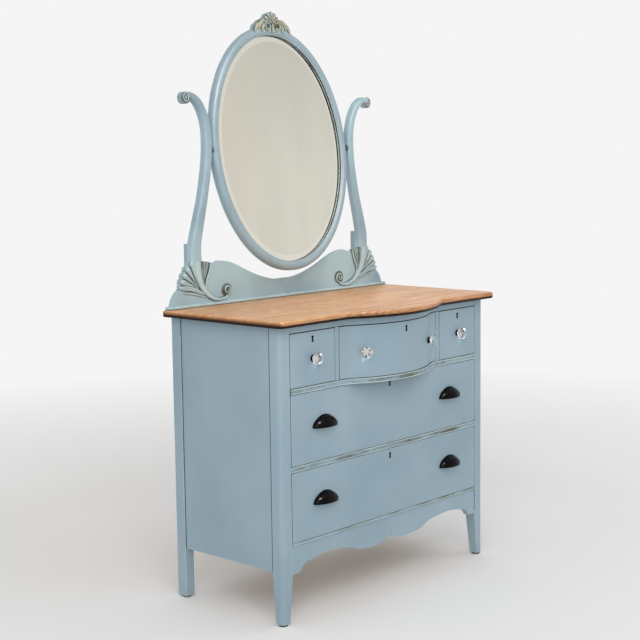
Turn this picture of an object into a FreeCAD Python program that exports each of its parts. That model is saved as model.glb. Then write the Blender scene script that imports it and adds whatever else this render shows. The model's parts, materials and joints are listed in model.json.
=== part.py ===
"""Serpentine dresser with five drawers and an oval tilting mirror carried between two carved arms.

Millimetres, +Z up, -Y to the front, +X to the right of somebody who stands in front of it.
The origin is on the floor, in the middle of the whole object's box.
"""
import FreeCAD, Part
import PartDesign
import Sketcher
import math
import os
import re

Vector = FreeCAD.Vector
Rotation = FreeCAD.Rotation
Placement = FreeCAD.Placement

# Driving sizes: alias, value, what it is.
SIZES = [
    ("case_width", 960, "Case, over the outer faces of the posts"),
    ("case_depth", 445, "Case, front face to back face"),
    ("top_height", 880, "Floor to the upper face of the top"),
    ("top_thickness", 20, "Top board"),
    ("top_side_overhang", 27, "Top beyond the posts at each side"),
    ("top_front_overhang", 33, "Top beyond the front of the case"),
    ("top_back_overhang", 6, "Top beyond the back of the case"),
    ("top_corner_round", 22, "Top, front corners in plan"),
    ("top_upper_round", 7, "Top, upper edge"),
    ("top_lower_round", 5, "Top, lower edge"),
    ("bow_half_width", 232, "Bow, from its middle to where the front is straight again"),
    ("bow_depth", 66.5, "Bow, how far its middle stands out"),
    ("hollow_radius", 105, "Bow, hollow curve at each side"),
    ("front_post_width", 42, "Front post, side to side"),
    ("front_post_depth", 39, "Front post, front to back"),
    ("front_post_round", 13, "Front post, outer corner"),
    ("foot_width", 29, "Front post at the floor, side to side"),
    ("foot_depth", 29.5, "Front post at the floor, front to back"),
    ("taper_rise", 10, "Where the front feet start to taper, above the ends of the apron"),
    ("back_post_width", 33, "Back post, side to side"),
    ("back_post_depth", 37, "Back post, front to back"),
    ("glide_height", 5, "Glide under each foot"),
    ("glide_radius", 13, "Glide under each foot"),
    ("side_recess", 3.5, "Side panel behind the faces of the posts"),
    ("side_thickness", 8, "Side panel"),
    ("side_rise", 10, "Lower edge of the side and back panels, above the ends of the apron"),
    ("back_thickness", 6, "Back panel"),
    ("rail_depth", 22, "Rails, front to back"),
    ("rail_height", 16.6, "Rails between the drawers"),
    ("top_rail_height", 22.6, "Rail under the top"),
    ("upper_rail_lip", 2, "Upper rail, how far it stands out beyond the drawers"),
    ("top_opening", 156.8, "Height of the top drawers' openings"),
    ("middle_opening", 207.2, "Height of the middle drawer's opening"),
    ("bottom_opening", 205.5, "Height of the bottom drawer's opening"),
    ("muntin_centre", 238.5, "Post between the top drawers, from the middle of the case"),
    ("muntin_width", 17, "Post between the top drawers"),
    ("bead_height", 8.7, "Bead moulding under the bottom drawer"),
    ("bead_lip", 2.5, "Bead moulding, how far it stands out"),
    ("apron_thickness", 20, "Apron"),
    ("apron_setback", 1.5, "Apron behind the front of the case"),
    ("apron_height", 81, "Apron, at its ends"),
    ("apron_ear_width", 32, "Apron, width of its ends"),
    ("apron_ear_curve", 48, "Apron, curve beside each end, its width and its radius"),
    ("apron_shoulder_drop", 53, "Apron, outer end of the arch below the bead"),
    ("apron_spring_x", 230, "Apron, inner end of the arch, from the middle"),
    ("apron_spring_drop", 50, "Apron, inner end of the arch below the bead"),
    ("apron_arch_radius", 320, "Apron, arch"),
    ("apron_ogee_x", 161, "Apron, middle of the ogee, from the middle"),
    ("apron_ogee_drop", 67.4, "Apron, middle of the ogee below the bead"),
    ("apron_low_x", 101, "Apron, lowest point of the ogee, from the middle"),
    ("apron_low_drop", 75, "Apron, lowest point of the ogee below the bead"),
    ("apron_peak_drop", 56, "Apron, peak in its middle below the bead"),
    ("apron_ogee_radius", 130, "Apron, curves of the ogee"),
    ("runner_width", 28, "Runner under each side of a drawer"),
    ("guide_height", 25, "Guide beside each drawer, above its runner"),
    ("back_rail_depth", 22, "Back rails, front to back"),
    ("drawer_gap", 1.5, "Gap all round a drawer front"),
    ("slide_gap", 0.3, "Gap between a drawer and what it slides on"),
    ("front_thickness", 20, "Drawer fronts"),
    ("front_lap", 6, "Drawer front in front of the dovetails"),
    ("box_side", 12, "Drawer sides"),
    ("box_back", 10, "Drawer backs"),
    ("box_headroom", 6, "Drawer sides below the top of the opening"),
    ("bottom_rise", 9, "Drawer bottom above the lower edge of the sides"),
    ("bottom_thickness", 5, "Drawer bottom"),
    ("groove_depth", 5, "Groove that holds the drawer bottom"),
    ("lock_width", 44, "Lock"),
    ("lock_height", 40, "Lock"),
    ("lock_thickness", 9, "Lock"),
    ("bolt_width", 18, "Lock bolt"),
    ("bolt_thickness", 4, "Lock bolt"),
    ("bolt_length", 24, "Lock bolt"),
    ("bolt_throw", 6, "Travel of the lock bolt"),
    ("bolt_gap", 0.3, "Gap between the bolt and its channel"),
    ("mortise_gap", 1, "Room round the bolt in the rail above"),
    ("keyhole_drop", 14, "Keyhole below the top of the opening"),
    ("keyhole_height", 17.5, "Keyhole"),
    ("keyhole_radius", 2.8, "Keyhole, round part"),
    ("keyhole_slot", 4, "Keyhole, width of its slot"),
    ("bow_lock_setback", 1, "Lock of the bowed drawer, in front of the back of the front"),
    ("knob_radius", 17.75, "Glass knob"),
    ("knob_neck", 9, "Glass knob, radius at its collar"),
    ("knob_face", 9, "Glass knob, radius of its flat face"),
    ("knob_flare", 9, "Glass knob, length from its collar to its widest part"),
    ("knob_rim", 5, "Glass knob, length of its widest part"),
    ("knob_dome", 6, "Glass knob, length from its widest part to its face"),
    ("collar_radius", 10, "Black collar under the glass"),
    ("collar_length", 10, "Black collar under the glass"),
    ("spindle_radius", 2.5, "Threaded spindle through the drawer front"),
    ("nut_radius", 6, "Nut on the spindle"),
    ("nut_length", 4, "Nut on the spindle"),
    ("pull_x", 297, "Cup pulls, from the middle of the drawer"),
    ("pull_half_width", 53.75, "Cup pull"),
    ("pull_height", 35, "Cup pull"),
    ("pull_depth", 26, "Cup pull"),
    ("pull_wall", 2, "Cup pull"),
    ("pull_flange", 3, "Cup pull, flat rim against the drawer"),
    ("pull_flange_thickness", 2, "Cup pull, flat rim against the drawer"),
    ("pull_drop", 108, "Foot of a cup pull below the top of the drawer's opening"),
    ("pull_post_radius", 3.5, "Cup pull, posts that take its screws"),
    ("pull_post_length", 14.5, "Cup pull, posts that take its screws"),
    ("pull_screw_bite", 8, "Screws of the cup pulls, length in the posts"),
    ("pull_screw_radius", 2, "Screws of the cup pulls"),
    ("pull_screw_head", 4.5, "Screws of the cup pulls, head radius"),
    ("pull_screw_x", 38, "Screws of a cup pull, from its middle"),
    ("pull_screw_z", 9, "Screws of a cup pull, above its foot"),
    ("case_screw_radius", 2.5, "Screws that hold the top"),
    ("case_screw_head", 5, "Screws that hold the top, head radius"),
    ("case_screw_bite", 12, "Screws that hold the top, length in it"),
    ("case_screw_inset", 70, "Screws that hold the top, from the rails at front and back"),
    ("base_inset", 7, "Moulding under the harp board, its ends in from those of the top"),
    ("base_height", 10, "Moulding under the harp board"),
    ("base_lip", 8, "Moulding in front of the harp board"),
    ("board_thickness", 16.5, "Harp board"),
    ("board_inset", 15, "Harp board, its ends in from those of its moulding"),
    ("board_waist", 60, "Harp board, its middle above the top of the case"),
    ("board_crown", 134, "Harp board, its highest part above the top of the case"),
    ("arm_depth", 25, "Arms, front to back"),
    ("arm_pivot_width", 29, "Arms at the pivot"),
    ("arm_foot_width", 44, "Arms at their feet"),
    ("arm_foot_x", 385, "Arms at their feet, from the middle"),
    ("arm_foot_z", 138, "Feet of the arms above the top of the case"),
    ("arm_scroll_x", 413, "Scroll at the top of each arm, from the middle"),
    ("arm_scroll_z", 625, "Scroll at the top of each arm, above the top of the case"),
    ("arm_scroll_radius", 18, "Scroll at the top of each arm"),
    ("batten_x", 383, "Battens behind the arms, from the middle"),
    ("batten_width", 36, "Battens behind the arms"),
    ("batten_depth", 19.5, "Battens behind the arms"),
    ("batten_reach", 191, "Battens above the top of the case"),
    ("batten_tail", 14, "Battens, lower ends below the upper rail"),
    ("carving_depth", 8.5, "Carved leaves in front of the harp board"),
    ("volute_x", 261, "Volutes, from the middle"),
    ("volute_z", 42.7, "Volutes above the top of the case"),
    ("volute_radius", 21, "Volutes"),
    ("stem_width", 8, "Stem where it runs into its volute"),
    ("pivot_inset", 5.5, "Mirror pivot in front of the back of the case"),
    ("pivot_height", 473.8, "Mirror pivot above the top of the case"),
    ("mirror_lean", 6.93, "Mirror at rest, top leaning back, degrees"),
    ("sight_half_width", 275.6, "Mirror frame, inner edge"),
    ("sight_half_height", 359.7, "Mirror frame, inner edge"),
    ("frame_width", 29.4, "Mirror frame, moulding"),
    ("frame_front", 11, "Mirror frame in front of its inner edge"),
    ("frame_rear", 16.5, "Mirror frame behind its inner edge"),
    ("frame_inner_round", 9, "Mirror frame, round towards the glass"),
    ("frame_outer_round", 6, "Mirror frame, outer front edge"),
    ("glass_setback", 2, "Glass behind the frame's inner edge"),
    ("glass_lap", 8, "Glass beyond the frame's inner edge"),
    ("glass_thickness", 5, "Glass"),
    ("bevel_width", 27, "Bevel of the glass"),
    ("bevel_depth", 2, "Bevel of the glass"),
    ("backing_thickness", 4, "Board behind the glass"),
    ("crest_half_width", 82, "Crest, over its leaf tips"),
    ("crest_top", 433.5, "Crest, its top above the pivot"),
    ("crest_foot", 366, "Crest, its leaf tips above the pivot"),
    ("crest_shell", 36, "Crest, half width of its shell"),
    ("crest_relief", 9, "Crest in front of the frame"),
    ("crest_drop", 5.4, "Crest, its middle leaf above the frame's inner edge"),
    ("crest_back", 12, "Crest above the frame, back face behind the frame's inner edge"),
    ("pin_radius", 4, "Pivot pins"),
    ("pin_grip", 12, "Pivot pins, length held in the frame"),
    ("pin_reach", 22, "Pivot pins, length in the bush"),
    ("pin_gap", 0.05, "Pivot pins in their bushes, all round"),
    ("pin_end_gap", 1, "Room beyond the end of each pin"),
    ("bush_radius", 7, "Pivot bushes"),
    ("bush_flange", 11, "Pivot bushes, flange radius"),
    ("bush_end_gap", 0.3, "Pivot bushes to the mirror frame"),
    ("arm_gap", 6.5, "Mirror frame to the inner face of an arm"),
    ("harp_screw_radius", 2.2, "Screws through the battens"),
    ("harp_screw_head", 4.5, "Screws through the battens, head radius"),
    ("harp_screw_cover", 6, "Wood left in front of the screws through the battens"),
    ("harp_screw_end", 18, "Top screw of a batten, from its end"),
    ("harp_screw_rise", 30, "Screw in the harp board, above its foot"),
    ("screw_head_height", 2.5, "Heads of all the screws"),
    ("bolt_setback", 0.5, "Lock bolt at rest, below the edge of its lock"),
    ("crest_seat", 8, "Crest, how far it is let into the frame"),
    ("cut_over", 1, "How far a cutting shape stands out beyond what it cuts"),
]

# Sizes that follow from the driving ones: alias, formula.
FORMULAS = [
    ("half_width", "case_width / 2"),
    ("mirror_rear_y", "max(crest_top * sin(mirror_lean) + crest_back * cos(mirror_lean);"
                      " (sight_half_height + frame_width) * sin(mirror_lean) + frame_rear * cos(mirror_lean))"),
    ("rear_reach", "max(mirror_rear_y - pivot_inset; batten_depth + top_back_overhang)"),
    ("front_reach", "bow_depth + top_front_overhang"),
    ("front_y", "(front_reach - rear_reach - case_depth) / 2"),
    ("back_y", "front_y + case_depth"),
    ("post_inner", "half_width - front_post_width"),
    ("back_inner", "half_width - back_post_width"),
    ("under_top", "top_height - top_thickness"),
    ("top_rail_bottom", "under_top - top_rail_height"),
    ("upper_rail_top", "top_rail_bottom - top_opening"),
    ("upper_rail_bottom", "upper_rail_top - rail_height"),
    ("middle_rail_top", "upper_rail_bottom - middle_opening"),
    ("middle_rail_bottom", "middle_rail_top - rail_height"),
    ("bottom_rail_top", "middle_rail_bottom - bottom_opening"),
    ("bottom_rail_bottom", "bottom_rail_top - rail_height"),
    ("bead_bottom", "bottom_rail_top - bead_height"),
    ("apron_bottom", "bead_bottom - apron_height"),
    ("apron_shoulder_x", "post_inner - apron_ear_width - apron_ear_curve"),
    ("taper_top", "apron_bottom + taper_rise"),
    ("panel_bottom", "apron_bottom + side_rise"),
    ("base_half_width", "half_width + top_side_overhang - base_inset"),
    ("board_half_width", "base_half_width - board_inset"),
    ("bow_knob_x", "0.65 * bow_half_width"),
    ("muntin_inner", "muntin_centre - muntin_width / 2"),
    ("muntin_outer", "muntin_centre + muntin_width / 2"),
    ("panel_inner", "half_width - side_recess - side_thickness"),
    ("panel_back_y", "back_y - back_thickness"),
    ("back_rail_y", "panel_back_y - back_rail_depth"),
    ("drawer_back", "back_rail_y - slide_gap"),
    ("crown_radius", "(bow_half_width ^ 2 + bow_depth ^ 2) / (2 * bow_depth) - hollow_radius"),
    ("crown_y", "front_y - bow_depth + crown_radius"),
    ("hollow_y", "front_y - hollow_radius"),
    ("bow_sine", "bow_half_width / (crown_radius + hollow_radius)"),
    ("bow_cosine", "sqrt(1 - bow_sine ^ 2)"),
    ("pivot_y", "back_y - pivot_inset"),
    ("pivot_z", "top_height + pivot_height"),
    ("frame_half_width", "sight_half_width + frame_width"),
    ("frame_half_height", "sight_half_height + frame_width"),
    ("arm_inner", "frame_half_width + arm_gap"),
    ("harp_back_y", "back_y + top_back_overhang"),
    ("board_front_y", "harp_back_y - board_thickness"),
    ("arm_front_y", "harp_back_y - arm_depth"),
    ("base_top", "top_height + base_height"),
    ("arm_foot", "top_height + arm_foot_z"),
    ("knob_z", "(upper_rail_top + top_rail_bottom) / 2"),
    ("foot_inner_x", "half_width - foot_width"),
    ("flat_rear_y", "front_y + front_thickness"),
    ("bow_rear_y", "front_y - bow_depth + front_thickness - bow_lock_setback"),
    ("small_centre", "(muntin_outer + post_inner) / 2"),
]

X_AXIS = Vector(1, 0, 0)
Y_AXIS = Vector(0, 1, 0)
Z_AXIS = Vector(0, 0, 1)
WORD = re.compile(r"[a-z][a-z_0-9]*")

doc = FreeCAD.newDocument("Dresser")
sheet = doc.addObject("Spreadsheet::Sheet", "Sizes")
for row, (alias, value, meaning) in enumerate(SIZES, start=1):
    sheet.set(f"A{row}", meaning)
    sheet.set(f"B{row}", str(value))
    sheet.setAlias(f"B{row}", alias)
for row, (alias, formula) in enumerate(FORMULAS, start=len(SIZES) + 1):
    sheet.set(f"A{row}", "Derived")
    sheet.set(f"B{row}", "=" + re.sub(r"(sin|cos)\((\w+)\)", r"\1(\2 * 1 deg)", formula))
    sheet.setAlias(f"B{row}", alias)
doc.recompute()
ALIASES = {entry[0] for entry in SIZES + FORMULAS}
nodes = []


def size(text):
    """Value of an expression in the sheet's aliases."""
    return float(sheet.evalExpression(str(text)))


def tie(thing, property_name, text):
    """Bind a property to an expression in the sheet's aliases."""
    def full(found):
        return "Sizes." + found[0] if found[0] in ALIASES else found[0]
    thing.setExpression(property_name, WORD.sub(full, str(text)))


def node(thing):
    """Keep an object as one of the dresser's pieces."""
    nodes.append(thing)
    return thing


# ---- Part primitives and booleans -------------------------------------------------------------

def block(label, low, high):
    """Box between two corners, each three expressions."""
    box = doc.addObject("Part::Box", label)
    for axis, side, start, end in zip("xyz", ("Length", "Width", "Height"), low, high):
        tie(box, side, f"({end}) - ({start})")
        tie(box, f"Placement.Base.{axis}", start)
    return box


def rod(label, start, axis, radius, length):
    """Cylinder from a point, three expressions, along an axis."""
    cylinder = doc.addObject("Part::Cylinder", label)
    cylinder.Placement = Placement(Vector(), Rotation(Z_AXIS, axis))
    tie(cylinder, "Radius", radius)
    tie(cylinder, "Height", length)
    for letter, place in zip("xyz", start):
        tie(cylinder, f"Placement.Base.{letter}", place)
    return cylinder


def cone(label, start, axis, first, last, length):
    """Cone from a point, three expressions, along an axis."""
    solid = doc.addObject("Part::Cone", label)
    solid.Placement = Placement(Vector(), Rotation(Z_AXIS, axis))
    tie(solid, "Radius1", first)
    tie(solid, "Radius2", last)
    tie(solid, "Height", length)
    for letter, place in zip("xyz", start):
        tie(solid, f"Placement.Base.{letter}", place)
    return solid


def join(label, *things):
    """One solid of several that touch or overlap."""
    solid = doc.addObject("Part::MultiFuse", label)
    solid.Shapes = list(things)
    solid.Refine = True
    return solid


def group(label, *things):
    """Separate solids that share a node."""
    bunch = doc.addObject("Part::Compound", label)
    bunch.Links = list(things)
    return bunch


def carve(label, base, *tools):
    """A solid less its tools."""
    cut = doc.addObject("Part::Cut", label)
    cut.Base = base
    cut.Tool = tools[0] if len(tools) == 1 else group(label + "_tools", *tools)
    return cut


def mirrored(thing):
    """The same piece on the other side of the dresser."""
    twin = doc.addObject("Part::Mirroring", thing.Name + "_twin")
    twin.Source = thing
    twin.Normal = X_AXIS
    return twin


def screw_from(label, start, axis, radius, head, length):
    """Head that lies on a surface at a point, and shank that goes in along an axis."""
    shank = rod(label + "_shank", start, axis, radius, length)
    back = [f"{place} - ({step} * screw_head_height)" for place, step in zip(start, tuple(axis))]
    cap = rod(label + "_cap", back, axis, head, "screw_head_height")
    return join(label, shank, cap)


def pair(label, half):
    """A piece and its mirror image, as one node."""
    return group(label, half, mirrored(half))


# ---- PartDesign bodies ------------------------------------------------------------------------

def arc_between(start, end, radius, side):
    """Arc whose centre lies to the left (+1) or right (-1) of the way from start to end."""
    chord = end - start
    left = Vector(-chord.y, chord.x, 0).normalize()
    centre = (start + end) * 0.5 + left * side * math.sqrt(radius ** 2 - chord.Length ** 2 / 4)
    first, last = (start, end) if side > 0 else (end, start)
    angles = [math.atan2(spot.y - centre.y, spot.x - centre.x) for spot in (first, last)]
    if angles[1] < angles[0]:
        angles[1] += 2 * math.pi
    return Part.ArcOfCircle(Part.Circle(centre, Z_AXIS, radius), *angles)


def fix(sketch, constraint, text):
    """Add a dimension bound to an expression."""
    index = sketch.addConstraint(constraint)
    tie(sketch, f"Constraints[{index}]", text)


def outline(sketch, corners):
    """Closed outline: a corner (x, y) ends a straight edge, (x, y, radius, side) ends an arc."""
    spots = [Vector(size(corner[0]), size(corner[1]), 0) for corner in corners]
    ends = []
    for number, corner in enumerate(corners):
        start = spots[number - 1]
        end = spots[number]
        if len(corner) == 2:
            edge = sketch.addGeometry(Part.LineSegment(start, end))
            ends.append((edge, 1, 2))
        else:
            edge = sketch.addGeometry(arc_between(start, end, size(corner[2]), corner[3]))
            ends.append((edge, 1, 2) if corner[3] > 0 else (edge, 2, 1))
    for number, corner in enumerate(corners):
        edge, start, end = ends[number]
        before, _, before_end = ends[number - 1]
        sketch.addConstraint(Sketcher.Constraint("Coincident", before, before_end, edge, start))
        fix(sketch, Sketcher.Constraint("DistanceX", edge, end, spots[number].x), corner[0])
        fix(sketch, Sketcher.Constraint("DistanceY", edge, end, spots[number].y), corner[1])
        if len(corner) == 4:
            fix(sketch, Sketcher.Constraint("Radius", edge, size(corner[2])), corner[2])


def sketch_on(body, name, role, offset):
    """Sketch on one of the body's own origin planes, moved along its normal."""
    sketch = body.newObject("Sketcher::SketchObject", name)
    plane = [feature for feature in body.Origin.OriginFeatures if feature.Role == role][0]
    sketch.AttachmentSupport = [(plane, "")]
    sketch.MapMode = "FlatFace"
    tie(sketch, "AttachmentOffset.Base.z", offset)
    return sketch


def slab(label, role, corners, low, high):
    """Outline padded from low to high, square to its plane."""
    body = doc.addObject("PartDesign::Body", label)
    offset = f"-({high})" if role == "XZ_Plane" else low
    sketch = sketch_on(body, label + "_outline", role, offset)
    outline(sketch, corners)
    pad = body.newObject("PartDesign::Pad", label + "_pad")
    pad.Profile = sketch
    tie(pad, "Length", f"({high}) - ({low})")
    doc.recompute()
    return body


def round_edges(body, radius, chosen):
    """Round the edges of a body that a test picks."""
    base = body.Tip
    names = [f"Edge{number}" for number, edge in enumerate(base.Shape.Edges, start=1) if chosen(edge)]
    fillet = body.newObject("PartDesign::Fillet", body.Name + "_round_" + radius)
    fillet.Base = (base, names)
    tie(fillet, "Radius", radius)
    doc.recompute()


def serpentine(proud, end_x):
    """Front line from left to right, moved forward by proud, as corners for an outline."""
    crown_x = f"(crown_radius + {proud}) * bow_sine"
    crown_y = f"crown_y - (crown_radius + {proud}) * bow_cosine"
    hollow = f"hollow_radius - ({proud})"
    straight_y = f"front_y - ({proud})"
    return [
        (f"-({end_x})", straight_y),
        ("-bow_half_width", straight_y),
        (f"-({crown_x})", crown_y, hollow, -1),
        (crown_x, crown_y, f"crown_radius + {proud}", 1),
        ("bow_half_width", straight_y, hollow, -1),
        (end_x, straight_y),
    ]


def make_harp_screws():
    """Screws through the battens: into the arm, the board and two of the back rails."""
    into_case = "batten_depth + top_back_overhang + back_thickness + back_rail_depth - harp_screw_cover"
    screws = []
    for name, z, length in (
            ("arm", "top_height + batten_reach - harp_screw_end",
             "batten_depth + arm_depth - harp_screw_cover"),
            ("board", "base_top + harp_screw_rise", "batten_depth + board_thickness - harp_screw_cover"),
            ("top_rail", "under_top - top_rail_height / 2", into_case),
            ("upper_rail", "upper_rail_bottom + rail_height / 2", into_case)):
        screw = screw_from(f"harp_screw_{name}", ("batten_x", "harp_back_y + batten_depth", z),
                           Y_AXIS * -1, "harp_screw_radius", "harp_screw_head", length)
        screws += [screw, mirrored(screw)]
    return screws


# ---- Case -------------------------------------------------------------------------------------

def make_posts():
    post = slab("front_post", "XZ_Plane", [
        ("foot_inner_x", "glide_height"),
        ("half_width", "glide_height"),
        ("half_width", "under_top"),
        ("post_inner", "under_top"),
        ("post_inner", "taper_top"),
    ], "front_y", "front_y + front_post_depth")
    wedge = sketch_on(post, "front_post_taper", "YZ_Plane", "half_width")
    outline(wedge, [
        ("front_y + foot_depth", "glide_height"),
        ("front_y + front_post_depth", "glide_height"),
        ("front_y + front_post_depth", "taper_top"),
    ])
    pocket = post.newObject("PartDesign::Pocket", "front_post_pocket")
    pocket.Profile = wedge
    tie(pocket, "Length", "front_post_width + cut_over")
    doc.recompute()
    if post.Shape.Volume > doc.getObject("front_post_pad").Shape.Volume - 1:
        raise RuntimeError("the taper of the front post cut nothing")
    corner = Vector(size("half_width"), size("front_y"), 0)

    def outer_corner(edge):
        middle = edge.CenterOfMass
        return abs(middle.x - corner.x) < 0.01 and abs(middle.y - corner.y) < 0.01

    round_edges(post, "front_post_round", outer_corner)
    node(pair("front_posts", post))
    back_post = block("back_post", ("back_inner", "back_y - back_post_depth", "glide_height"),
                      ("half_width", "back_y", "under_top"))
    node(pair("back_posts", back_post))
    front_glide = rod("front_glide", ("half_width - foot_width / 2", "front_y + foot_depth / 2", "0"),
                      Z_AXIS, "glide_radius", "glide_height")
    back_glide = rod("back_glide", ("half_width - back_post_width / 2",
                                    "back_y - back_post_depth / 2", "0"),
                     Z_AXIS, "glide_radius", "glide_height")
    node(group("glides", front_glide, mirrored(front_glide), back_glide, mirrored(back_glide)))


def make_panels(harp_screws):
    side = block("side_panel", ("panel_inner", "front_y + front_post_depth", "panel_bottom"),
                 ("half_width - side_recess", "back_y - back_post_depth", "under_top"))
    node(pair("side_panels", side))
    back_blank = block("back_panel_blank", ("-back_inner", "panel_back_y", "panel_bottom"),
                       ("back_inner", "back_y", "under_top"))
    node(carve("back_panel", back_blank, *harp_screws))


def bolt_box(label, centre_x, rear_y, opening_top, grow_x, grow_y, low, high):
    """Room taken by a drawer's bolt, grown sideways, between two heights."""
    middle_y = f"{rear_y} - lock_thickness / 2"
    return block(label,
                 (f"{centre_x} - bolt_width / 2 - {grow_x}", f"{middle_y} - bolt_thickness / 2 - {grow_y}",
                  f"{opening_top} + {low}"),
                 (f"{centre_x} + bolt_width / 2 + {grow_x}", f"{middle_y} + bolt_thickness / 2 + {grow_y}",
                  f"{opening_top} + {high}"))


def mortise(label, centre_x, rear_y, opening_top):
    return bolt_box(label, centre_x, rear_y, opening_top, "mortise_gap", "mortise_gap",
                    "0", "bolt_throw + mortise_gap")


def make_rails():
    back = [("post_inner", "front_y + rail_depth"), ("-post_inner", "front_y + rail_depth")]
    top_blank = slab("top_rail_blank", "XY_Plane", serpentine("0", "post_inner") + back,
                     "top_rail_bottom", "under_top")
    node(carve("top_rail", top_blank,
               mortise("mortise_left", "-small_centre", "flat_rear_y", "top_rail_bottom"),
               mortise("mortise_centre", "0", "bow_rear_y", "top_rail_bottom"),
               mortise("mortise_right", "small_centre", "flat_rear_y", "top_rail_bottom")))
    upper_blank = slab("upper_rail_blank", "XY_Plane", serpentine("upper_rail_lip", "post_inner") + back,
                       "upper_rail_bottom", "upper_rail_top")
    node(carve("upper_rail", upper_blank,
               mortise("mortise_middle", "0", "flat_rear_y", "upper_rail_bottom")))
    middle_blank = block("middle_rail_blank", ("-post_inner", "front_y", "middle_rail_bottom"),
                         ("post_inner", "front_y + rail_depth", "middle_rail_top"))
    node(carve("middle_rail", middle_blank,
               mortise("mortise_bottom", "0", "flat_rear_y", "middle_rail_bottom")))
    muntin = block("muntin", ("muntin_inner", "front_y", "upper_rail_top"),
                   ("muntin_outer", "front_y + rail_depth", "top_rail_bottom"))
    node(pair("muntins", muntin))


def make_apron():
    shoulder = "bead_bottom - apron_shoulder_drop"
    spring = "bead_bottom - apron_spring_drop"
    ogee = "bead_bottom - apron_ogee_drop"
    low = "bead_bottom - apron_low_drop"
    lower_edge = [
        ("post_inner", "bead_bottom"),
        ("-post_inner", "bead_bottom"),
        ("-post_inner", "apron_bottom"),
        ("apron_ear_width - post_inner", "apron_bottom"),
        ("-apron_shoulder_x", shoulder, "apron_ear_curve", -1),
        ("-apron_spring_x", spring, "apron_arch_radius", -1),
        ("-apron_ogee_x", ogee, "apron_ogee_radius", -1),
        ("-apron_low_x", low, "apron_ogee_radius", 1),
        ("0", "bead_bottom - apron_peak_drop", "apron_ogee_radius", 1),
        ("apron_low_x", low, "apron_ogee_radius", 1),
        ("apron_ogee_x", ogee, "apron_ogee_radius", 1),
        ("apron_spring_x", spring, "apron_ogee_radius", -1),
        ("apron_shoulder_x", shoulder, "apron_arch_radius", -1),
        ("post_inner - apron_ear_width", "apron_bottom", "apron_ear_curve", -1),
        ("post_inner", "apron_bottom"),
    ]
    node(slab("apron", "XZ_Plane", lower_edge, "front_y + apron_setback",
              "front_y + apron_setback + apron_thickness"))
    node(block("bead_moulding", ("-post_inner", "front_y - bead_lip", "bead_bottom"),
               ("post_inner", "front_y + rail_depth", "bottom_rail_top")))


def make_frame_inside(harp_screws):
    """Back rails, runners, guides and kickers that carry and steer the drawers."""
    levels = [("lower", "bottom_rail_bottom", "bottom_rail_top"),
              ("middle", "middle_rail_bottom", "middle_rail_top"),
              ("upper", "upper_rail_bottom", "upper_rail_top"),
              ("top", "top_rail_bottom", "under_top")]
    back_rails = []
    runners = []
    guides = []
    for name, low, high in levels:
        back_rails.append(block(f"back_rail_{name}", ("-back_inner", "back_rail_y", low),
                                ("back_inner", "panel_back_y", high)))
        runner = block(f"runner_{name}", ("post_inner - runner_width", "front_y + rail_depth", low),
                       ("post_inner", "back_rail_y", high))
        runners += [runner, mirrored(runner)]
        guide_top = f"{high} + guide_height" if name != "top" else high
        guide = block(f"guide_{name}", ("post_inner", "front_y + front_post_depth", low),
                      ("panel_inner", "back_y - back_post_depth", guide_top))
        guides += [guide, mirrored(guide)]
        if name in ("upper", "top"):
            wide = block(f"runner_inner_{name}",
                         ("muntin_inner - runner_width", "front_y + rail_depth", low),
                         ("muntin_outer + runner_width", "back_rail_y", high))
            runners += [wide, mirrored(wide)]
    divider = block("divider", ("muntin_inner", "front_y + rail_depth", "upper_rail_top"),
                    ("muntin_outer", "back_rail_y", "upper_rail_top + guide_height"))
    guides += [divider, mirrored(divider)]
    node(carve("back_rails", group("back_rails_blank", *back_rails), *harp_screws))
    node(group("drawer_guides", *guides))
    return runners


def make_top(runners):
    """Top board, its screws, and the runners and kickers that they go through."""
    screws = []
    for name, x, y in (("outer_front", "post_inner - runner_width / 2",
                        "front_y + rail_depth + case_screw_inset"),
                       ("outer_rear", "post_inner - runner_width / 2", "back_rail_y - case_screw_inset"),
                       ("inner_front", "muntin_centre", "front_y + rail_depth + case_screw_inset"),
                       ("inner_rear", "muntin_centre", "back_rail_y - case_screw_inset")):
        screw = screw_from(f"top_screw_{name}", (x, y, "top_rail_bottom"), Z_AXIS,
                           "case_screw_radius", "case_screw_head", "top_rail_height + case_screw_bite")
        screws += [screw, mirrored(screw)]
    node(carve("drawer_runners", group("runners_blank", *runners), *screws))
    rim = serpentine("top_front_overhang", "half_width + top_side_overhang - top_corner_round")
    corner_y = "front_y - top_front_overhang + top_corner_round"
    plan = [("-(half_width + top_side_overhang)", corner_y)]
    first_x, first_y = rim[0]
    plan.append((first_x, first_y, "top_corner_round", 1))
    plan += rim[1:]
    plan.append(("half_width + top_side_overhang", corner_y, "top_corner_round", 1))
    plan.append(("half_width + top_side_overhang", "harp_back_y"))
    plan.append(("-(half_width + top_side_overhang)", "harp_back_y"))
    board = slab("tabletop_blank", "XY_Plane", plan, "under_top", "top_height")
    back = size("harp_back_y")

    def edge_at(height):
        def chosen(edge):
            box = edge.BoundBox
            level = abs(box.ZMin - height) < 0.01 and abs(box.ZMax - height) < 0.01
            return level and box.YMin < back - 0.01
        return chosen

    round_edges(board, "top_upper_round", edge_at(size("top_height")))
    round_edges(board, "top_lower_round", edge_at(size("under_top")))
    node(carve("tabletop", board, *screws))
    return screws


# ---- Drawers ----------------------------------------------------------------------------------

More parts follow.
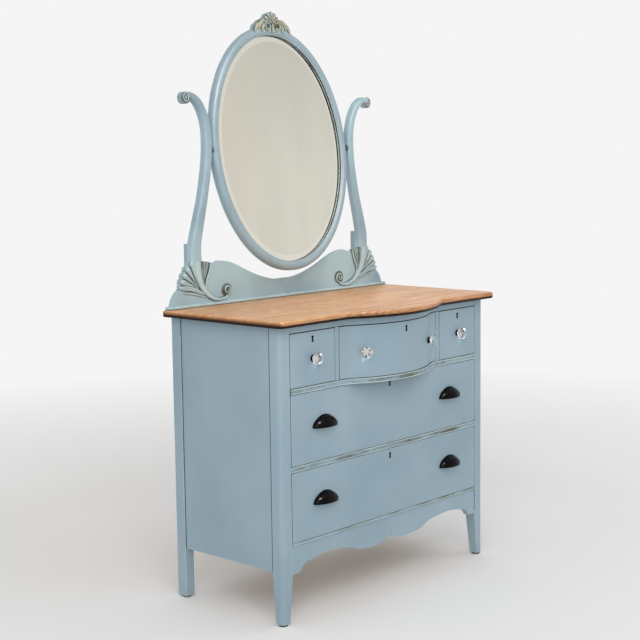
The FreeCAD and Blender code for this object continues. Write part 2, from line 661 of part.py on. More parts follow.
def keyhole(label, centre_x, face_y, rear_y, opening_top):
    """Key's way from in front of the face into the lock."""
    eye_z = f"{opening_top} - keyhole_drop - keyhole_radius"
    depth = f"{rear_y} - lock_thickness / 2 - ({face_y}) + cut_over"
    eye = rod(label + "_eye", (centre_x, f"{face_y} - cut_over", eye_z), Y_AXIS, "keyhole_radius", depth)
    slot = block(label + "_slot",
                 (f"{centre_x} - keyhole_slot / 2", f"{face_y} - cut_over",
                  f"{opening_top} - keyhole_drop - keyhole_height"),
                 (f"{centre_x} + keyhole_slot / 2", f"{rear_y} - lock_thickness / 2", eye_z))
    return join(label, eye, slot)


def drawer(name, left, right, bottom, top, front_blank, bottom_board, centre_x, face_y, rear_y, holes):
    """Front, box, bottom, lock and bolt of one drawer."""
    box_low = f"{bottom} + slide_gap"
    box_top = f"{top} - box_headroom"
    lap_y = "front_y + front_lap"
    left_blank = block(f"{name}_left_side", (left, lap_y, box_low),
                       (f"{left} + box_side", "drawer_back", box_top))
    right_blank = block(f"{name}_right_side", (f"{right} - box_side", lap_y, box_low),
                        (right, "drawer_back", box_top))
    back = block(f"{name}_back", (f"{left} + box_side", "drawer_back - box_back",
                                  f"{bottom} + bottom_rise + bottom_thickness"),
                 (f"{right} - box_side", "drawer_back", f"{box_top} - box_headroom"))
    lock_top = f"{top} - drawer_gap"
    lock_blank = block(f"{name}_lock_blank",
                       (f"{centre_x} - lock_width / 2", f"{rear_y} - lock_thickness",
                        f"{lock_top} - lock_height"),
                       (f"{centre_x} + lock_width / 2", rear_y, lock_top))
    rest = "-(drawer_gap + bolt_setback)"
    channel = bolt_box(f"{name}_channel", centre_x, rear_y, top, "bolt_gap", "bolt_gap",
                       f"{rest} - bolt_length - bolt_gap", "0")
    bolt_solid = bolt_box(f"{name}_bolt", centre_x, rear_y, top, "0", "0",
                          f"{rest} - bolt_length", rest)
    key = keyhole(f"{name}_keyhole", centre_x, face_y, rear_y, top)
    node(carve(f"{name}_front", front_blank, left_blank, right_blank, bottom_board, lock_blank, key,
               *holes))
    node(group(f"{name}_box", carve(f"{name}_left_part", left_blank, bottom_board),
               carve(f"{name}_right_part", right_blank, bottom_board), back))
    node(bottom_board)
    node(carve(f"{name}_lock", lock_blank, channel, key))
    node(bolt_solid)


def flat_drawer(name, left, right, bottom, top, centre_x, holes):
    front = block(f"{name}_front_blank", (left, "front_y", f"{bottom} + drawer_gap"),
                  (right, "flat_rear_y", f"{top} - drawer_gap"))
    board = block(f"{name}_bottom",
                  (f"{left} + box_side - groove_depth", "flat_rear_y - groove_depth",
                   f"{bottom} + bottom_rise"),
                  (f"{right} - box_side + groove_depth", "drawer_back",
                   f"{bottom} + bottom_rise + bottom_thickness"))
    drawer(name, left, right, bottom, top, front, board, centre_x, "front_y", "flat_rear_y", holes)


def bowed_drawer(name, half, bottom, top, holes):
    """The centre drawer, whose front follows the bow; its ends lie in the hollows."""
    end_y = f"hollow_y + sqrt(hollow_radius ^ 2 - (bow_half_width - ({half})) ^ 2)"
    crown_x = "crown_radius * bow_sine"
    crown_end_y = "crown_y - crown_radius * bow_cosine"
    inner = "front_thickness"
    inner_end_y = f"hollow_y + sqrt((hollow_radius + {inner}) ^ 2 - (bow_half_width - ({half})) ^ 2)"
    inner_x = f"(crown_radius - {inner}) * bow_sine"
    inner_y = f"crown_y - (crown_radius - {inner}) * bow_cosine"
    front = slab(f"{name}_front_blank", "XY_Plane", [
        (f"-({half})", end_y),
        (f"-({crown_x})", crown_end_y, "hollow_radius", -1),
        (crown_x, crown_end_y, "crown_radius", 1),
        (half, end_y, "hollow_radius", -1),
        (half, inner_end_y),
        (inner_x, inner_y, f"hollow_radius + {inner}", 1),
        (f"-({inner_x})", inner_y, f"crown_radius - {inner}", -1),
        (f"-({half})", inner_end_y, f"hollow_radius + {inner}", 1),
    ], f"{bottom} + drawer_gap", f"{top} - drawer_gap")
    tuck = f"({inner} - groove_depth)"
    board_half = f"({half} - box_side + groove_depth)"
    tuck_end_y = f"hollow_y + sqrt((hollow_radius + {tuck}) ^ 2 - (bow_half_width - {board_half}) ^ 2)"
    tuck_x = f"(crown_radius - {tuck}) * bow_sine"
    tuck_y = f"crown_y - (crown_radius - {tuck}) * bow_cosine"
    board = slab(f"{name}_bottom", "XY_Plane", [
        (f"-{board_half}", tuck_end_y),
        (f"-({tuck_x})", tuck_y, f"hollow_radius + {tuck}", -1),
        (tuck_x, tuck_y, f"crown_radius - {tuck}", 1),
        (board_half, tuck_end_y, f"hollow_radius + {tuck}", -1),
        (board_half, "drawer_back"),
        (f"-{board_half}", "drawer_back"),
    ], f"{bottom} + bottom_rise", f"{bottom} + bottom_rise + bottom_thickness")
    drawer(name, f"-({half})", half, bottom, top, front, board, "0", "front_y - bow_depth",
           "bow_rear_y", holes)


def knob(name, x, y, turn):
    """Glass knob, its collar with spindle, and its nut, square to the face at (x, y)."""
    spindle_length = "front_thickness + nut_length"
    spindle = rod(f"{name}_spindle", ("0", "0", "0"), Y_AXIS, "spindle_radius", spindle_length)
    collar = rod(f"{name}_collar_body", ("0", "-collar_length", "0"), Y_AXIS,
                 "collar_radius", "collar_length")
    nut = rod(f"{name}_nut_blank", ("0", "front_thickness", "0"), Y_AXIS, "nut_radius", "nut_length")
    metal = group(f"{name}_metal", join(f"{name}_collar_part", spindle, collar),
                  carve(f"{name}_nut", nut, spindle))
    flare = cone(f"{name}_flare", ("0", "-collar_length", "0"), Y_AXIS * -1,
                 "knob_neck", "knob_radius", "knob_flare")
    rim = rod(f"{name}_rim", ("0", "-collar_length - knob_flare", "0"), Y_AXIS * -1,
              "knob_radius", "knob_rim")
    dome = cone(f"{name}_dome", ("0", "-collar_length - knob_flare - knob_rim", "0"), Y_AXIS * -1,
                "knob_radius", "knob_face", "knob_dome")
    glass = join(f"{name}_glass_part", flare, rim, dome)
    hole = join(f"{name}_hole", spindle, nut)
    for thing in (metal, glass, hole):
        thing.Placement = Placement(Vector(), Rotation(Z_AXIS, 1))
        tie(thing, "Placement.Rotation.Angle", turn)
        tie(thing, "Placement.Base.x", x)
        tie(thing, "Placement.Base.y", y)
        tie(thing, "Placement.Base.z", "knob_z")
    return metal, glass, hole


def cup_pull(name, centre_x, foot_z):
    """Half cup, open below, with a flat rim against the drawer and two screws from inside."""
    def egg(label, shrink):
        solid = doc.addObject("Part::Ellipsoid", label)
        solid.Placement = Placement(Vector(), Rotation())
        tie(solid, "Radius1", f"pull_height - pull_flange - {shrink}")
        tie(solid, "Radius2", f"pull_half_width - pull_flange - {shrink}")
        tie(solid, "Radius3", f"pull_depth - {shrink}")
        tie(solid, "Placement.Base.x", centre_x)
        tie(solid, "Placement.Base.y", "front_y")
        tie(solid, "Placement.Base.z", foot_z)
        return solid

    reach = "pull_half_width + cut_over"
    quarter = block(f"{name}_quarter",
                    (f"{centre_x} - ({reach})", "front_y - pull_depth - cut_over", foot_z),
                    (f"{centre_x} + {reach}", "front_y", f"{foot_z} + pull_height + cut_over"))
    shell = doc.addObject("Part::Common", f"{name}_shell")
    shell.Base = egg(f"{name}_outside", "0")
    shell.Tool = quarter
    inside = egg(f"{name}_inside", "pull_wall")
    plate = doc.addObject("Part::Cylinder", f"{name}_plate")
    plate.Placement = Placement(Vector(), Rotation(Z_AXIS, Y_AXIS))
    tie(plate, "Radius", "pull_half_width")
    tie(plate, "Height", "pull_flange_thickness")
    tie(plate, "Placement.Base.x", centre_x)
    tie(plate, "Placement.Base.y", "front_y - pull_flange_thickness")
    tie(plate, "Placement.Base.z", f"{foot_z} + pull_height - pull_half_width")
    rim = doc.addObject("Part::Common", f"{name}_rim")
    rim.Base = plate
    rim.Tool = quarter
    hollow_cup = carve(f"{name}_hollow", join(f"{name}_solid", shell, rim), inside)
    posts = []
    screws = []
    for side, step in (("a", "-pull_screw_x"), ("b", "pull_screw_x")):
        x = f"{centre_x} + {step}"
        z = f"{foot_z} + pull_screw_z"
        posts.append(rod(f"{name}_post_{side}", (x, "front_y - pull_post_length", z), Y_AXIS,
                         "pull_post_radius", "pull_post_length"))
        screws.append(screw_from(f"{name}_screw_{side}", (x, "flat_rear_y", z), Y_AXIS * -1,
                                 "pull_screw_radius", "pull_screw_head",
                                 "front_thickness + pull_screw_bite"))
    cup = carve(f"{name}_cup", join(f"{name}_with_posts", hollow_cup, *posts), *screws)
    return [cup] + screws, screws


def make_drawers():
    small_left = "muntin_outer + drawer_gap"
    small_right = "post_inner - drawer_gap"
    small_z = ("upper_rail_top", "top_rail_bottom")
    metal, glass, hole = knob("right_knob", "small_centre", "front_y", "0")
    flat_drawer("top_right_drawer", small_left, small_right, *small_z, "small_centre", [hole])
    node(group("top_right_knob_collar", metal))
    node(group("top_right_knob_glass", glass))
    metal, glass, hole = knob("left_knob", "-small_centre", "front_y", "0")
    flat_drawer("top_left_drawer", f"-({small_right})", f"-({small_left})", *small_z,
                "-small_centre", [hole])
    node(group("top_left_knob_collar", metal))
    node(group("top_left_knob_glass", glass))
    face_y = "crown_y - sqrt(crown_radius ^ 2 - bow_knob_x ^ 2)"
    turn = "asin(bow_knob_x / crown_radius)"
    metals = []
    glasses = []
    holes = []
    for side, x, angle in (("a", "-bow_knob_x", f"-{turn}"), ("b", "bow_knob_x", turn)):
        metal, glass, hole = knob(f"bow_knob_{side}", x, face_y, angle)
        metals.append(metal)
        glasses.append(glass)
        holes.append(hole)
    bowed_drawer("top_centre_drawer", "muntin_inner - drawer_gap", *small_z, holes)
    node(group("top_centre_knob_collars", *metals))
    node(group("top_centre_knob_glasses", *glasses))
    half = "post_inner - drawer_gap"
    for name, bottom, top in (("middle_drawer", "middle_rail_top", "upper_rail_bottom"),
                              ("bottom_drawer", "bottom_rail_top", "middle_rail_bottom")):
        pieces = []
        holes = []
        for side, x in (("left", "-pull_x"), ("right", "pull_x")):
            more_pieces, more_holes = cup_pull(f"{name}_{side}_pull", x, f"{top} - pull_drop")
            pieces += more_pieces
            holes += more_holes
        flat_drawer(name, f"-({half})", half, bottom, top, "0", holes)
        node(group(f"{name}_pulls", *pieces))


# ---- Harp: board, arms, carvings and battens --------------------------------------------------

def curve_face(loops):
    """Face in the XZ plane bounded by curves through points; each loop is a list of point lists."""
    edges = []
    for points in loops:
        spots = [Vector(x, 0, z) for x, z in points]
        if len(spots) == 2:
            edges.append(Part.LineSegment(*spots).toShape())
        else:
            curve = Part.BSplineCurve()
            curve.interpolate(spots)
            edges.append(curve.toShape())
    return Part.Face(Part.Wire(Part.__sortEdges__(edges)))


def sawn(label, loops, front_y, back_y):
    """Board sawn to curves and as thick as from front_y to back_y."""
    feature = doc.addObject("Part::Feature", label)
    depth = size(back_y) - size(front_y)
    feature.Shape = curve_face(loops).extrude(Vector(0, depth, 0))
    feature.Placement = Placement(Vector(0, 0, 0), Rotation())
    tie(feature, "Placement.Base.y", front_y)
    return feature


def make_board(harp_screws):
    """Half the board: foot, rounded end lobe, leaf side, shoulder under the arm, hump and waist."""
    half = size("board_half_width")
    floor = size("base_top")
    rise = size("top_height + board_crown") - floor
    waist = size("top_height + board_waist")
    foot = size("arm_foot")
    arm_in = size("arm_foot_x - arm_foot_width / 2")
    arm_out = size("arm_foot_x + arm_foot_width / 2")
    hump_x = arm_in * 0.8
    waist_side = [(0, waist), (0.38 * hump_x, waist + 0.2 * (floor + rise - waist)),
                  (0.6 * hump_x, waist + 0.53 * (floor + rise - waist)),
                  (0.81 * hump_x, waist + 0.88 * (floor + rise - waist)), (hump_x, floor + rise)]
    hump_side = [(hump_x, floor + rise), (hump_x + 0.33 * (arm_in - hump_x), floor + 0.944 * rise),
                 (arm_in, foot)]
    past = half - arm_out
    leaf_side = [(arm_out, foot), (arm_out + 0.19 * past, floor + 0.89 * rise),
                 (arm_out + 0.38 * past, floor + 0.73 * rise), (arm_out + 0.51 * past, floor + 0.58 * rise),
                 (arm_out + 0.57 * past, floor + 0.39 * rise)]
    lobe = [(arm_out + 0.57 * past, floor + 0.39 * rise), (arm_out + 0.73 * past, floor + 0.31 * rise),
            (arm_out + 0.87 * past, floor + 0.2 * rise), (arm_out + 0.96 * past, floor + 0.09 * rise),
            (half, floor)]
    half_loops = [waist_side, hump_side, [(arm_in, foot), (arm_out, foot)], leaf_side, lobe,
                  [(half, floor), (0, floor)], [(0, floor), (0, waist)]]
    right = sawn("harp_board_half", half_loops, "board_front_y", "harp_back_y")
    node(carve("harp_board", join("harp_board_blank", right, mirrored(right)), *harp_screws))
    node(block("base_moulding", ("-base_half_width", "board_front_y - base_lip", "top_height"),
               ("base_half_width", "harp_back_y", "base_top")))


def make_arms(harp_screws):
    """An arm rises from its foot, comes in to the pivot and curls out into a scroll."""
    foot = size("arm_foot")
    pivot = size("pivot_z")
    rise = pivot - foot
    inner = size("arm_inner")
    outer = inner + size("arm_pivot_width")
    foot_in = size("arm_foot_x - arm_foot_width / 2")
    foot_out = size("arm_foot_x + arm_foot_width / 2")
    scroll_x = size("arm_scroll_x")
    scroll_z = size("top_height + arm_scroll_z")
    curl = size("arm_scroll_radius")
    reach = foot_in - inner
    spread = foot_out - outer
    over = scroll_z - pivot
    inner_side = [(foot_in, foot), (inner + 1.02 * reach, foot + 0.15 * rise),
                  (inner + 0.7 * reach, foot + 0.37 * rise), (inner + 0.447 * reach, foot + 0.55 * rise),
                  (inner + 0.08 * reach, foot + 0.84 * rise), (inner, pivot),
                  (inner + 0.09 * reach, pivot + 0.44 * over),
                  (inner + 0.38 * reach, pivot + 0.74 * over),
                  (scroll_x - 2.55 * curl, scroll_z - 0.15 * curl),
                  (scroll_x - 1.05 * curl, scroll_z + 0.92 * curl), (scroll_x, scroll_z + curl)]
    outer_side = [(foot_out, foot), (outer + 0.955 * spread, foot + 0.15 * rise),
                  (outer + 0.63 * spread, foot + 0.37 * rise), (outer + 0.376 * spread, foot + 0.55 * rise),
                  (outer + 0.077 * spread, foot + 0.84 * rise), (outer, pivot),
                  (outer + 0.05 * spread, pivot + 0.44 * over),
                  (outer + 0.27 * spread, pivot + 0.74 * over),
                  (scroll_x - 1.65 * curl, scroll_z - 0.75 * curl),
                  (scroll_x - 0.8 * curl, scroll_z - 0.6 * curl)]
    ends = [[inner_side[-1], outer_side[-1]], [(foot_in, foot), (foot_out, foot)]]
    shaft = sawn("arm_shaft", [inner_side, outer_side] + ends, "arm_front_y", "harp_back_y")
    scroll = rod("arm_scroll", ("arm_scroll_x", "arm_front_y", "top_height + arm_scroll_z"), Y_AXIS,
                 "arm_scroll_radius", "arm_depth")
    bush = join("bush_blank",
                rod("bush_body", ("arm_inner", "pivot_y", "pivot_z"), X_AXIS, "bush_radius",
                    "pin_reach + pin_end_gap"),
                rod("bush_collar", ("frame_half_width + bush_end_gap", "pivot_y", "pivot_z"), X_AXIS,
                    "bush_flange", "arm_gap - bush_end_gap"))
    node(pair("arms", carve("arm", join("arm_blank", shaft, scroll), bush, *harp_screws)))
    running = rod("bush_hole", ("frame_half_width", "pivot_y", "pivot_z"), X_AXIS,
                  "pin_radius + pin_gap", "arm_gap + pin_reach + pin_end_gap")
    node(pair("pivot_bushes", carve("pivot_bush", bush, running)))


def make_carvings():
    """Relief on each end of the board: outer leaf fan, stem, lower leaf and volute."""
    floor = size("base_top")
    rise = size("arm_foot") - floor
    volute_x = size("volute_x")
    reach = size("board_half_width") - volute_x
    volute_foot = size("top_height + volute_z - volute_radius")
    stem_foot = volute_foot + size("stem_width")

    def spots(*shares):
        return [(volute_x + across * reach, floor + up * rise) for across, up in shares]

    head = spots((0.402, 1), (0.665, 1))
    fan = spots((0.665, 1), (0.723, 0.86), (0.786, 0.71), (0.835, 0.57), (0.871, 0.43))
    lower = spots((0.871, 0.43), (0.737, 0.34), (0.531, 0.19), (0.33, 0.09), (0.13, 0.085))
    lower.append((volute_x, volute_foot))
    under = [(volute_x, stem_foot)]
    under += spots((0.19, 0.21), (0.308, 0.47), (0.29, 0.77), (0.25, 0.93), (0.402, 1))
    tip = [(volute_x, volute_foot), (volute_x, stem_foot)]
    leaves = sawn("carving_leaves", [head, fan, lower, tip, under], "board_front_y - carving_depth",
                  "board_front_y")
    volute = rod("carving_volute", ("volute_x", "board_front_y - carving_depth", "top_height + volute_z"),
                 Y_AXIS, "volute_radius", "carving_depth")
    node(pair("carvings", join("carving", leaves, volute)))


def make_battens(harp_screws):
    low_x = "batten_x - batten_width / 2"
    batten = slab("batten_blank", "YZ_Plane", [
        ("back_y", "upper_rail_bottom - batten_tail"),
        ("harp_back_y + batten_depth", "upper_rail_bottom - batten_tail"),
        ("harp_back_y + batten_depth", "top_height + batten_reach"),
        ("harp_back_y", "top_height + batten_reach"),
        ("harp_back_y", "under_top"),
        ("back_y", "under_top"),
    ], low_x, f"{low_x} + batten_width")
    node(pair("battens", carve("batten", batten, *harp_screws)))


# ---- Mirror -----------------------------------------------------------------------------------

def oval(label, half_width, half_height, front, depth):
    """Upright oval plate in the mirror's own plane, front and depth along +Y."""
    ellipse = doc.addObject("Part::Ellipse", label + "_line")
    ellipse.Placement = Placement(Vector(), Rotation(Vector(1, 1, 1), 240))
    tie(ellipse, "MajorRadius", half_height)
    tie(ellipse, "MinorRadius", half_width)
    plate = doc.addObject("Part::Extrusion", label)
    plate.Base = ellipse
    plate.DirMode = "Custom"
    plate.Dir = Y_AXIS
    plate.Solid = True
    tie(plate, "LengthFwd", depth)
    tie(plate, "Placement.Base.y", front)
    return plate


def lean(thing):
    """Hang a piece of the mirror on the pivot, leaning back."""
    thing.Placement = Placement(Vector(), Rotation(X_AXIS, -1))
    tie(thing, "Placement.Rotation.Angle", "-mirror_lean")
    tie(thing, "Placement.Base.y", "pivot_y")
    tie(thing, "Placement.Base.z", "pivot_z")
    return node(thing)


def edge_at_depth(shape, depth, half_width):
    """Number of the oval edge that lies at a depth and has a half width."""
    for number, edge in enumerate(shape.Edges, start=1):
        box = edge.BoundBox
        if abs(box.YMin - depth) < 0.1 and abs(box.YMax - depth) < 0.1 and abs(box.XMax - half_width) < 0.5:
            return number
    raise RuntimeError("no such oval edge")


def make_mirror():
    outside = oval("frame_outside", "frame_half_width", "frame_half_height", "-frame_front",
                   "frame_front + frame_rear")
    sight = oval("frame_sight", "sight_half_width", "sight_half_height", "-frame_front - cut_over",
                 "frame_front + frame_rear + 2 * cut_over")
    ring = carve("frame_ring", outside, sight)
    doc.recompute()
    rounded = doc.addObject("Part::Fillet", "frame_rounded")
    rounded.Base = ring
    front = -size("frame_front")
    inner_edge = edge_at_depth(ring.Shape, front, size("sight_half_width"))
    outer_edge = edge_at_depth(ring.Shape, front, size("frame_half_width"))
    inner_round = size("frame_inner_round")
    outer_round = size("frame_outer_round")
    rounded.Edges = [(inner_edge, inner_round, inner_round), (outer_edge, outer_round, outer_round)]
    rebate = oval("frame_rebate", "sight_half_width + glass_lap", "sight_half_height + glass_lap",
                  "glass_setback", "frame_rear + cut_over")
    pin = rod("pivot_pin", ("frame_half_width - pin_grip", "0", "0"), X_AXIS, "pin_radius",
              "pin_grip + arm_gap + pin_reach")
    seat = block("crest_seat_room",
                 ("-crest_shell", "-frame_front - cut_over", "frame_half_height - crest_seat"),
                 ("crest_shell", "crest_back", "crest_top"))
    lean(carve("mirror_frame", rounded, rebate, pin, mirrored(pin), seat))
    glass = oval("glass_plate", "sight_half_width + glass_lap", "sight_half_height + glass_lap",
                 "glass_setback", "glass_thickness")
    doc.recompute()
    bevel = doc.addObject("Part::Chamfer", "glass_bevel")
    bevel.Base = glass
    rim = edge_at_depth(glass.Shape, size("glass_setback"), size("sight_half_width + glass_lap"))
    bevel.Edges = [(rim, size("bevel_depth"), size("bevel_width"))]
    lean(group("mirror_glass", bevel))
    board = oval("backing_plate", "sight_half_width + glass_lap", "sight_half_height + glass_lap",
                 "glass_setback + glass_thickness", "backing_thickness")
    lean(group("mirror_backing", board))
    lean(pair("mirror_pivots", pin))


def make_crest():
    """Shell over two leaf scrolls: a sawn block seated on the frame, relief in front of it."""
    top = size("crest_top")
    foot = size("crest_foot")
    shell = size("crest_shell")
    half = size("crest_half_width")
    seat = size("frame_half_height - crest_seat")
    drop = size("sight_half_height + crest_drop")
    rise = top - seat
    arch = top - foot
    shoulder = (shell, top - 0.35 * rise)
    upper = [[(0, top), (0.5 * shell, top - 0.06 * rise), shoulder], [shoulder, (shell, seat)],
             [(shell, seat), (0, seat)], [(0, seat), (0, top)]]
    block_half = sawn("crest_block_half", upper, "-frame_front", "crest_back")
    scroll = [(0.9 * shell, top - 0.3 * rise), (0.58 * half, top - 0.58 * rise),
              (0.74 * half, foot + 0.28 * arch), (0.88 * half, foot + 0.15 * arch), (half, foot + 0.05 * arch)]
    leaf = [(half, foot + 0.05 * arch), (0.91 * half, foot - 0.05 * arch), (0.66 * half, foot + 0.05 * arch),
            (shell, foot), (0.5 * shell, foot + 0.06 * arch), (0, drop)]
    relief = [[(0, drop), (0, top - 0.1 * rise)], [(0, top - 0.1 * rise), (0.9 * shell, top - 0.3 * rise)],
              scroll, leaf]
    relief_half = sawn("crest_relief_half", relief, "-frame_front - crest_relief", "-frame_front")
    lean(join("crest", block_half, mirrored(block_half), relief_half, mirrored(relief_half)))


def check_and_export():
    """Stop at a failed object or a bad shape, and write each piece to its own file."""
    for thing in doc.Objects:
        if "Invalid" in thing.State or "Error" in thing.State:
            raise RuntimeError(f"{thing.Label} failed: {thing.State}")
    for piece in nodes:
        shape = piece.Shape
        if shape.isNull() or not shape.isValid() or not shape.Solids:
            raise RuntimeError(f"{piece.Label} has no valid solid")
    os.makedirs("parts", exist_ok=True)
    for piece in nodes:
        piece.Shape.exportStep(f"parts/{piece.Label}.step")
        print(f"{piece.Label}: {len(piece.Shape.Solids)} solids, {piece.Shape.Volume:.0f} mm3")


harp_screws = make_harp_screws()
make_posts()
make_panels(harp_screws)
make_rails()
make_apron()
runners = make_frame_inside(harp_screws)
case_screws = make_top(runners)
node(group("wood_screws", *case_screws, *harp_screws))
make_drawers()
make_board(harp_screws)
make_arms(harp_screws)
make_carvings()
make_battens(harp_screws)
make_mirror()
make_crest()
doc.recompute()
check_and_export()
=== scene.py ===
"""Painted serpentine dresser with a tilting oval mirror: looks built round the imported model.

Metres, +Z up, -Y to the front, +X to the right of somebody who stands in front of it. Carving, profiles
and rows of points are drawn in millimetres.
"""
import json
import math
import bmesh
import bpy
from bpy.props import FloatProperty, FloatVectorProperty, IntProperty, PointerProperty
from mathutils import Matrix, Vector
from mathutils.geometry import interpolate_bezier


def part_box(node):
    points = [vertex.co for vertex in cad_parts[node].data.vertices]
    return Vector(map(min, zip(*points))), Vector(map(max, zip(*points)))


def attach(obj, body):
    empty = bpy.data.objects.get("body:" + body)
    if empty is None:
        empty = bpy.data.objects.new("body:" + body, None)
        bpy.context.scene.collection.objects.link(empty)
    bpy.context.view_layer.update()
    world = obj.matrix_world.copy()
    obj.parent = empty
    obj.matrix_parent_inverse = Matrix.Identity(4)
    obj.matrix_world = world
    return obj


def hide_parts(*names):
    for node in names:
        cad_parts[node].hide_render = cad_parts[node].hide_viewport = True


bl_info = {
    "name": "Serpentine dresser with mirror",
    "version": (1, 0, 0),
    "blender": (4, 5, 0),
    "location": "View3D > Sidebar > Dresser",
    "description": "Builds the finishes, mouldings, carving and fittings of a painted dresser",
    "category": "Object",
}

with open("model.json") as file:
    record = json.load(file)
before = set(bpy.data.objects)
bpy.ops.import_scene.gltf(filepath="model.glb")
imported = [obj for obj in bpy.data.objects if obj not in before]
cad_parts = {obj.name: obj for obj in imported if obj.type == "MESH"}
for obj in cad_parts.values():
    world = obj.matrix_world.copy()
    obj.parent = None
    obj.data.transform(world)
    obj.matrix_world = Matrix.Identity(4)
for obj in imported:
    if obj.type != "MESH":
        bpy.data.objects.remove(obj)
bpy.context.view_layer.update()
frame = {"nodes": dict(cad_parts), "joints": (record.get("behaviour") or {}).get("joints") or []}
MM = 0.001
DRAWERS = ("top_left_drawer", "top_centre_drawer", "top_right_drawer", "middle_drawer", "bottom_drawer")


def linear(red, green, blue):
    """Colour written as 0-255 screen values, as the renderer wants it."""
    def channel(value):
        value /= 255
        return value / 12.92 if value <= 0.04045 else ((value + 0.055) / 1.055) ** 2.4
    return channel(red), channel(green), channel(blue)


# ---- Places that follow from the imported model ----

FRONT_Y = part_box("middle_rail")[0].y
POST_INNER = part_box("middle_rail")[1].x
BOW_DEPTH = FRONT_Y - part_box("top_centre_drawer_front")[0].y
BOW_HALF = 232 * MM
HOLLOW_RADIUS = 105 * MM
CROWN_RADIUS = (BOW_HALF ** 2 + BOW_DEPTH ** 2) / (2 * BOW_DEPTH) - HOLLOW_RADIUS
CROWN_Y = FRONT_Y - BOW_DEPTH + CROWN_RADIUS
BOW_KNOB_X = 0.65 * BOW_HALF
TOP_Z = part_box("tabletop")[1].z
OAK_BOARD = 118 * MM
BOARD_THICK = (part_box("harp_board")[1].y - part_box("harp_board")[0].y) / MM
VOLUTE = (261, 922.7)
ARMS_LOW, ARMS_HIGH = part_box("arms")
ARM_DEPTH = (ARMS_HIGH.y - ARMS_LOW.y) / MM
SCROLL_RADIUS = 18
SCROLL = (ARMS_HIGH.x / MM - SCROLL_RADIUS, ARMS_HIGH.z / MM - SCROLL_RADIUS)
PIVOT = Vector([joint for joint in frame["joints"] if joint["name"] == "mirror_tilt"][0]["pos_m"])
LEAN = math.radians(6.93)
SIGHT_HALF_WIDTH = 275.6 * MM
SIGHT_HALF_HEIGHT = 359.7 * MM
FRAME_WIDTH = (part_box("mirror_frame")[1].x - SIGHT_HALF_WIDTH) / MM

# Places that stand a drawing in the XY plane up, its face to the front.
UPRIGHT = Matrix.Rotation(math.pi / 2, 4, "X")
BOARD_PLANE = Matrix.Translation((0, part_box("carvings")[1].y, 0)) @ UPRIGHT
ARM_PLANE = Matrix.Translation((0, ARMS_HIGH.y, 0)) @ UPRIGHT
MIRROR_PLANE = Matrix.Translation(PIVOT) @ Matrix.Rotation(-LEAN, 4, "X") @ UPRIGHT


# ---- Settings ----

def colour(name, description, *shade):
    return FloatVectorProperty(name=name, description=description, subtype="COLOR", size=3, min=0, max=1,
                               default=linear(*shade))


def figure(name, description, default, subtype="NONE", **others):
    return FloatProperty(name=name, description=description, default=default, subtype=subtype, **others)


def length(name, description, default):
    return figure(name, description, default * MM, "DISTANCE", unit="LENGTH")


def degrees(name, description, default):
    return figure(name, description, math.radians(default), "ANGLE")


def whole(name, description, default, low, high):
    return IntProperty(name=name, description=description, default=default, min=low, max=high)


class DresserFinish(bpy.types.PropertyGroup):
    """Colours of the dresser's finishes."""
    paint: colour("Paint", "Chalk paint on the case and the mirror", 147, 168, 180)
    paint_pale: colour("Pale paint", "Thin paint where brush strokes lie", 164, 186, 195)
    paint_deep: colour("Deep paint", "Paint where it lies thick", 134, 157, 170)
    # Pale tone of paint wear on beads and edges, also standing in for a painted highlight there.
    rubbed_and_highlight: colour("Rubbed paint", "Nearly bare paint along beads and edges", 196, 214, 213)
    # Paler, greener paint used on the board, the arms and the carving.
    aged: colour("Aged paint", "Paler, greener paint on the board, the arms and the carving", 172, 200, 206)
    # Wax colour, also painted as shadow at the foot of the base moulding and as shade on the mirror's inner
    # wall.
    wax: colour("Wax", "Olive wax left in the hollows", 72, 74, 52)
    gilt: colour("Rubbed gilt", "Pale rub on the high parts of the crest", 182, 168, 124)
    oak: colour("Oak", "Middle tone of the oak top", 206, 140, 84)
    oak_pale: colour("Pale oak", "Light early wood", 240, 186, 130)
    oak_deep: colour("Deep oak", "Dark late wood and pores", 138, 74, 34)
    # Painted shade along the lower edge of the top, darkest on its left end.
    lower_edge_shade: colour("Grime", "Old finish gone dark along the lower edge of the top", 34, 17, 9)
    # Dark of stained edges, also used as painted shade in the gaps and as painted dark reflections in the
    # knob foil.
    stain_and_shade: colour("Stained edges", "Dark edges of the drawer fronts", 24, 20, 18)
    bare: colour("Bare wood", "Drawer boxes, runners and back", 190, 160, 122)
    black: colour("Black metal", "Cup pulls and knob collars", 6, 5, 6)
    silver: colour("Silvering", "What the mirror throws back", 222, 219, 206)


class DresserSizes(bpy.types.PropertyGroup):
    """Sizes of the parts that are shaped here."""
    edge: length("Softened edge", "Width of the worn edges of the boards", 0.9)
    bead: length("Rail bead", "Radius of the beads along the rails", 1.6)
    # The keyhole rim is black, painted shade in and round the hole.
    keyhole: length("Keyhole rim", "Width of the rim round each keyhole", 2)
    relief: length("Relief", "Height of the carved leaves in front of the board", 8)
    facets: whole("Knob facets", "Petals cut round each glass knob", 12, 6, 24)
    shell_lobes: whole("Shell lobes", "Lobes of the shell in the crest", 7, 3, 11)
    shell_spread: degrees("Shell spread", "Angle that the shell's lobes fan over", 150)


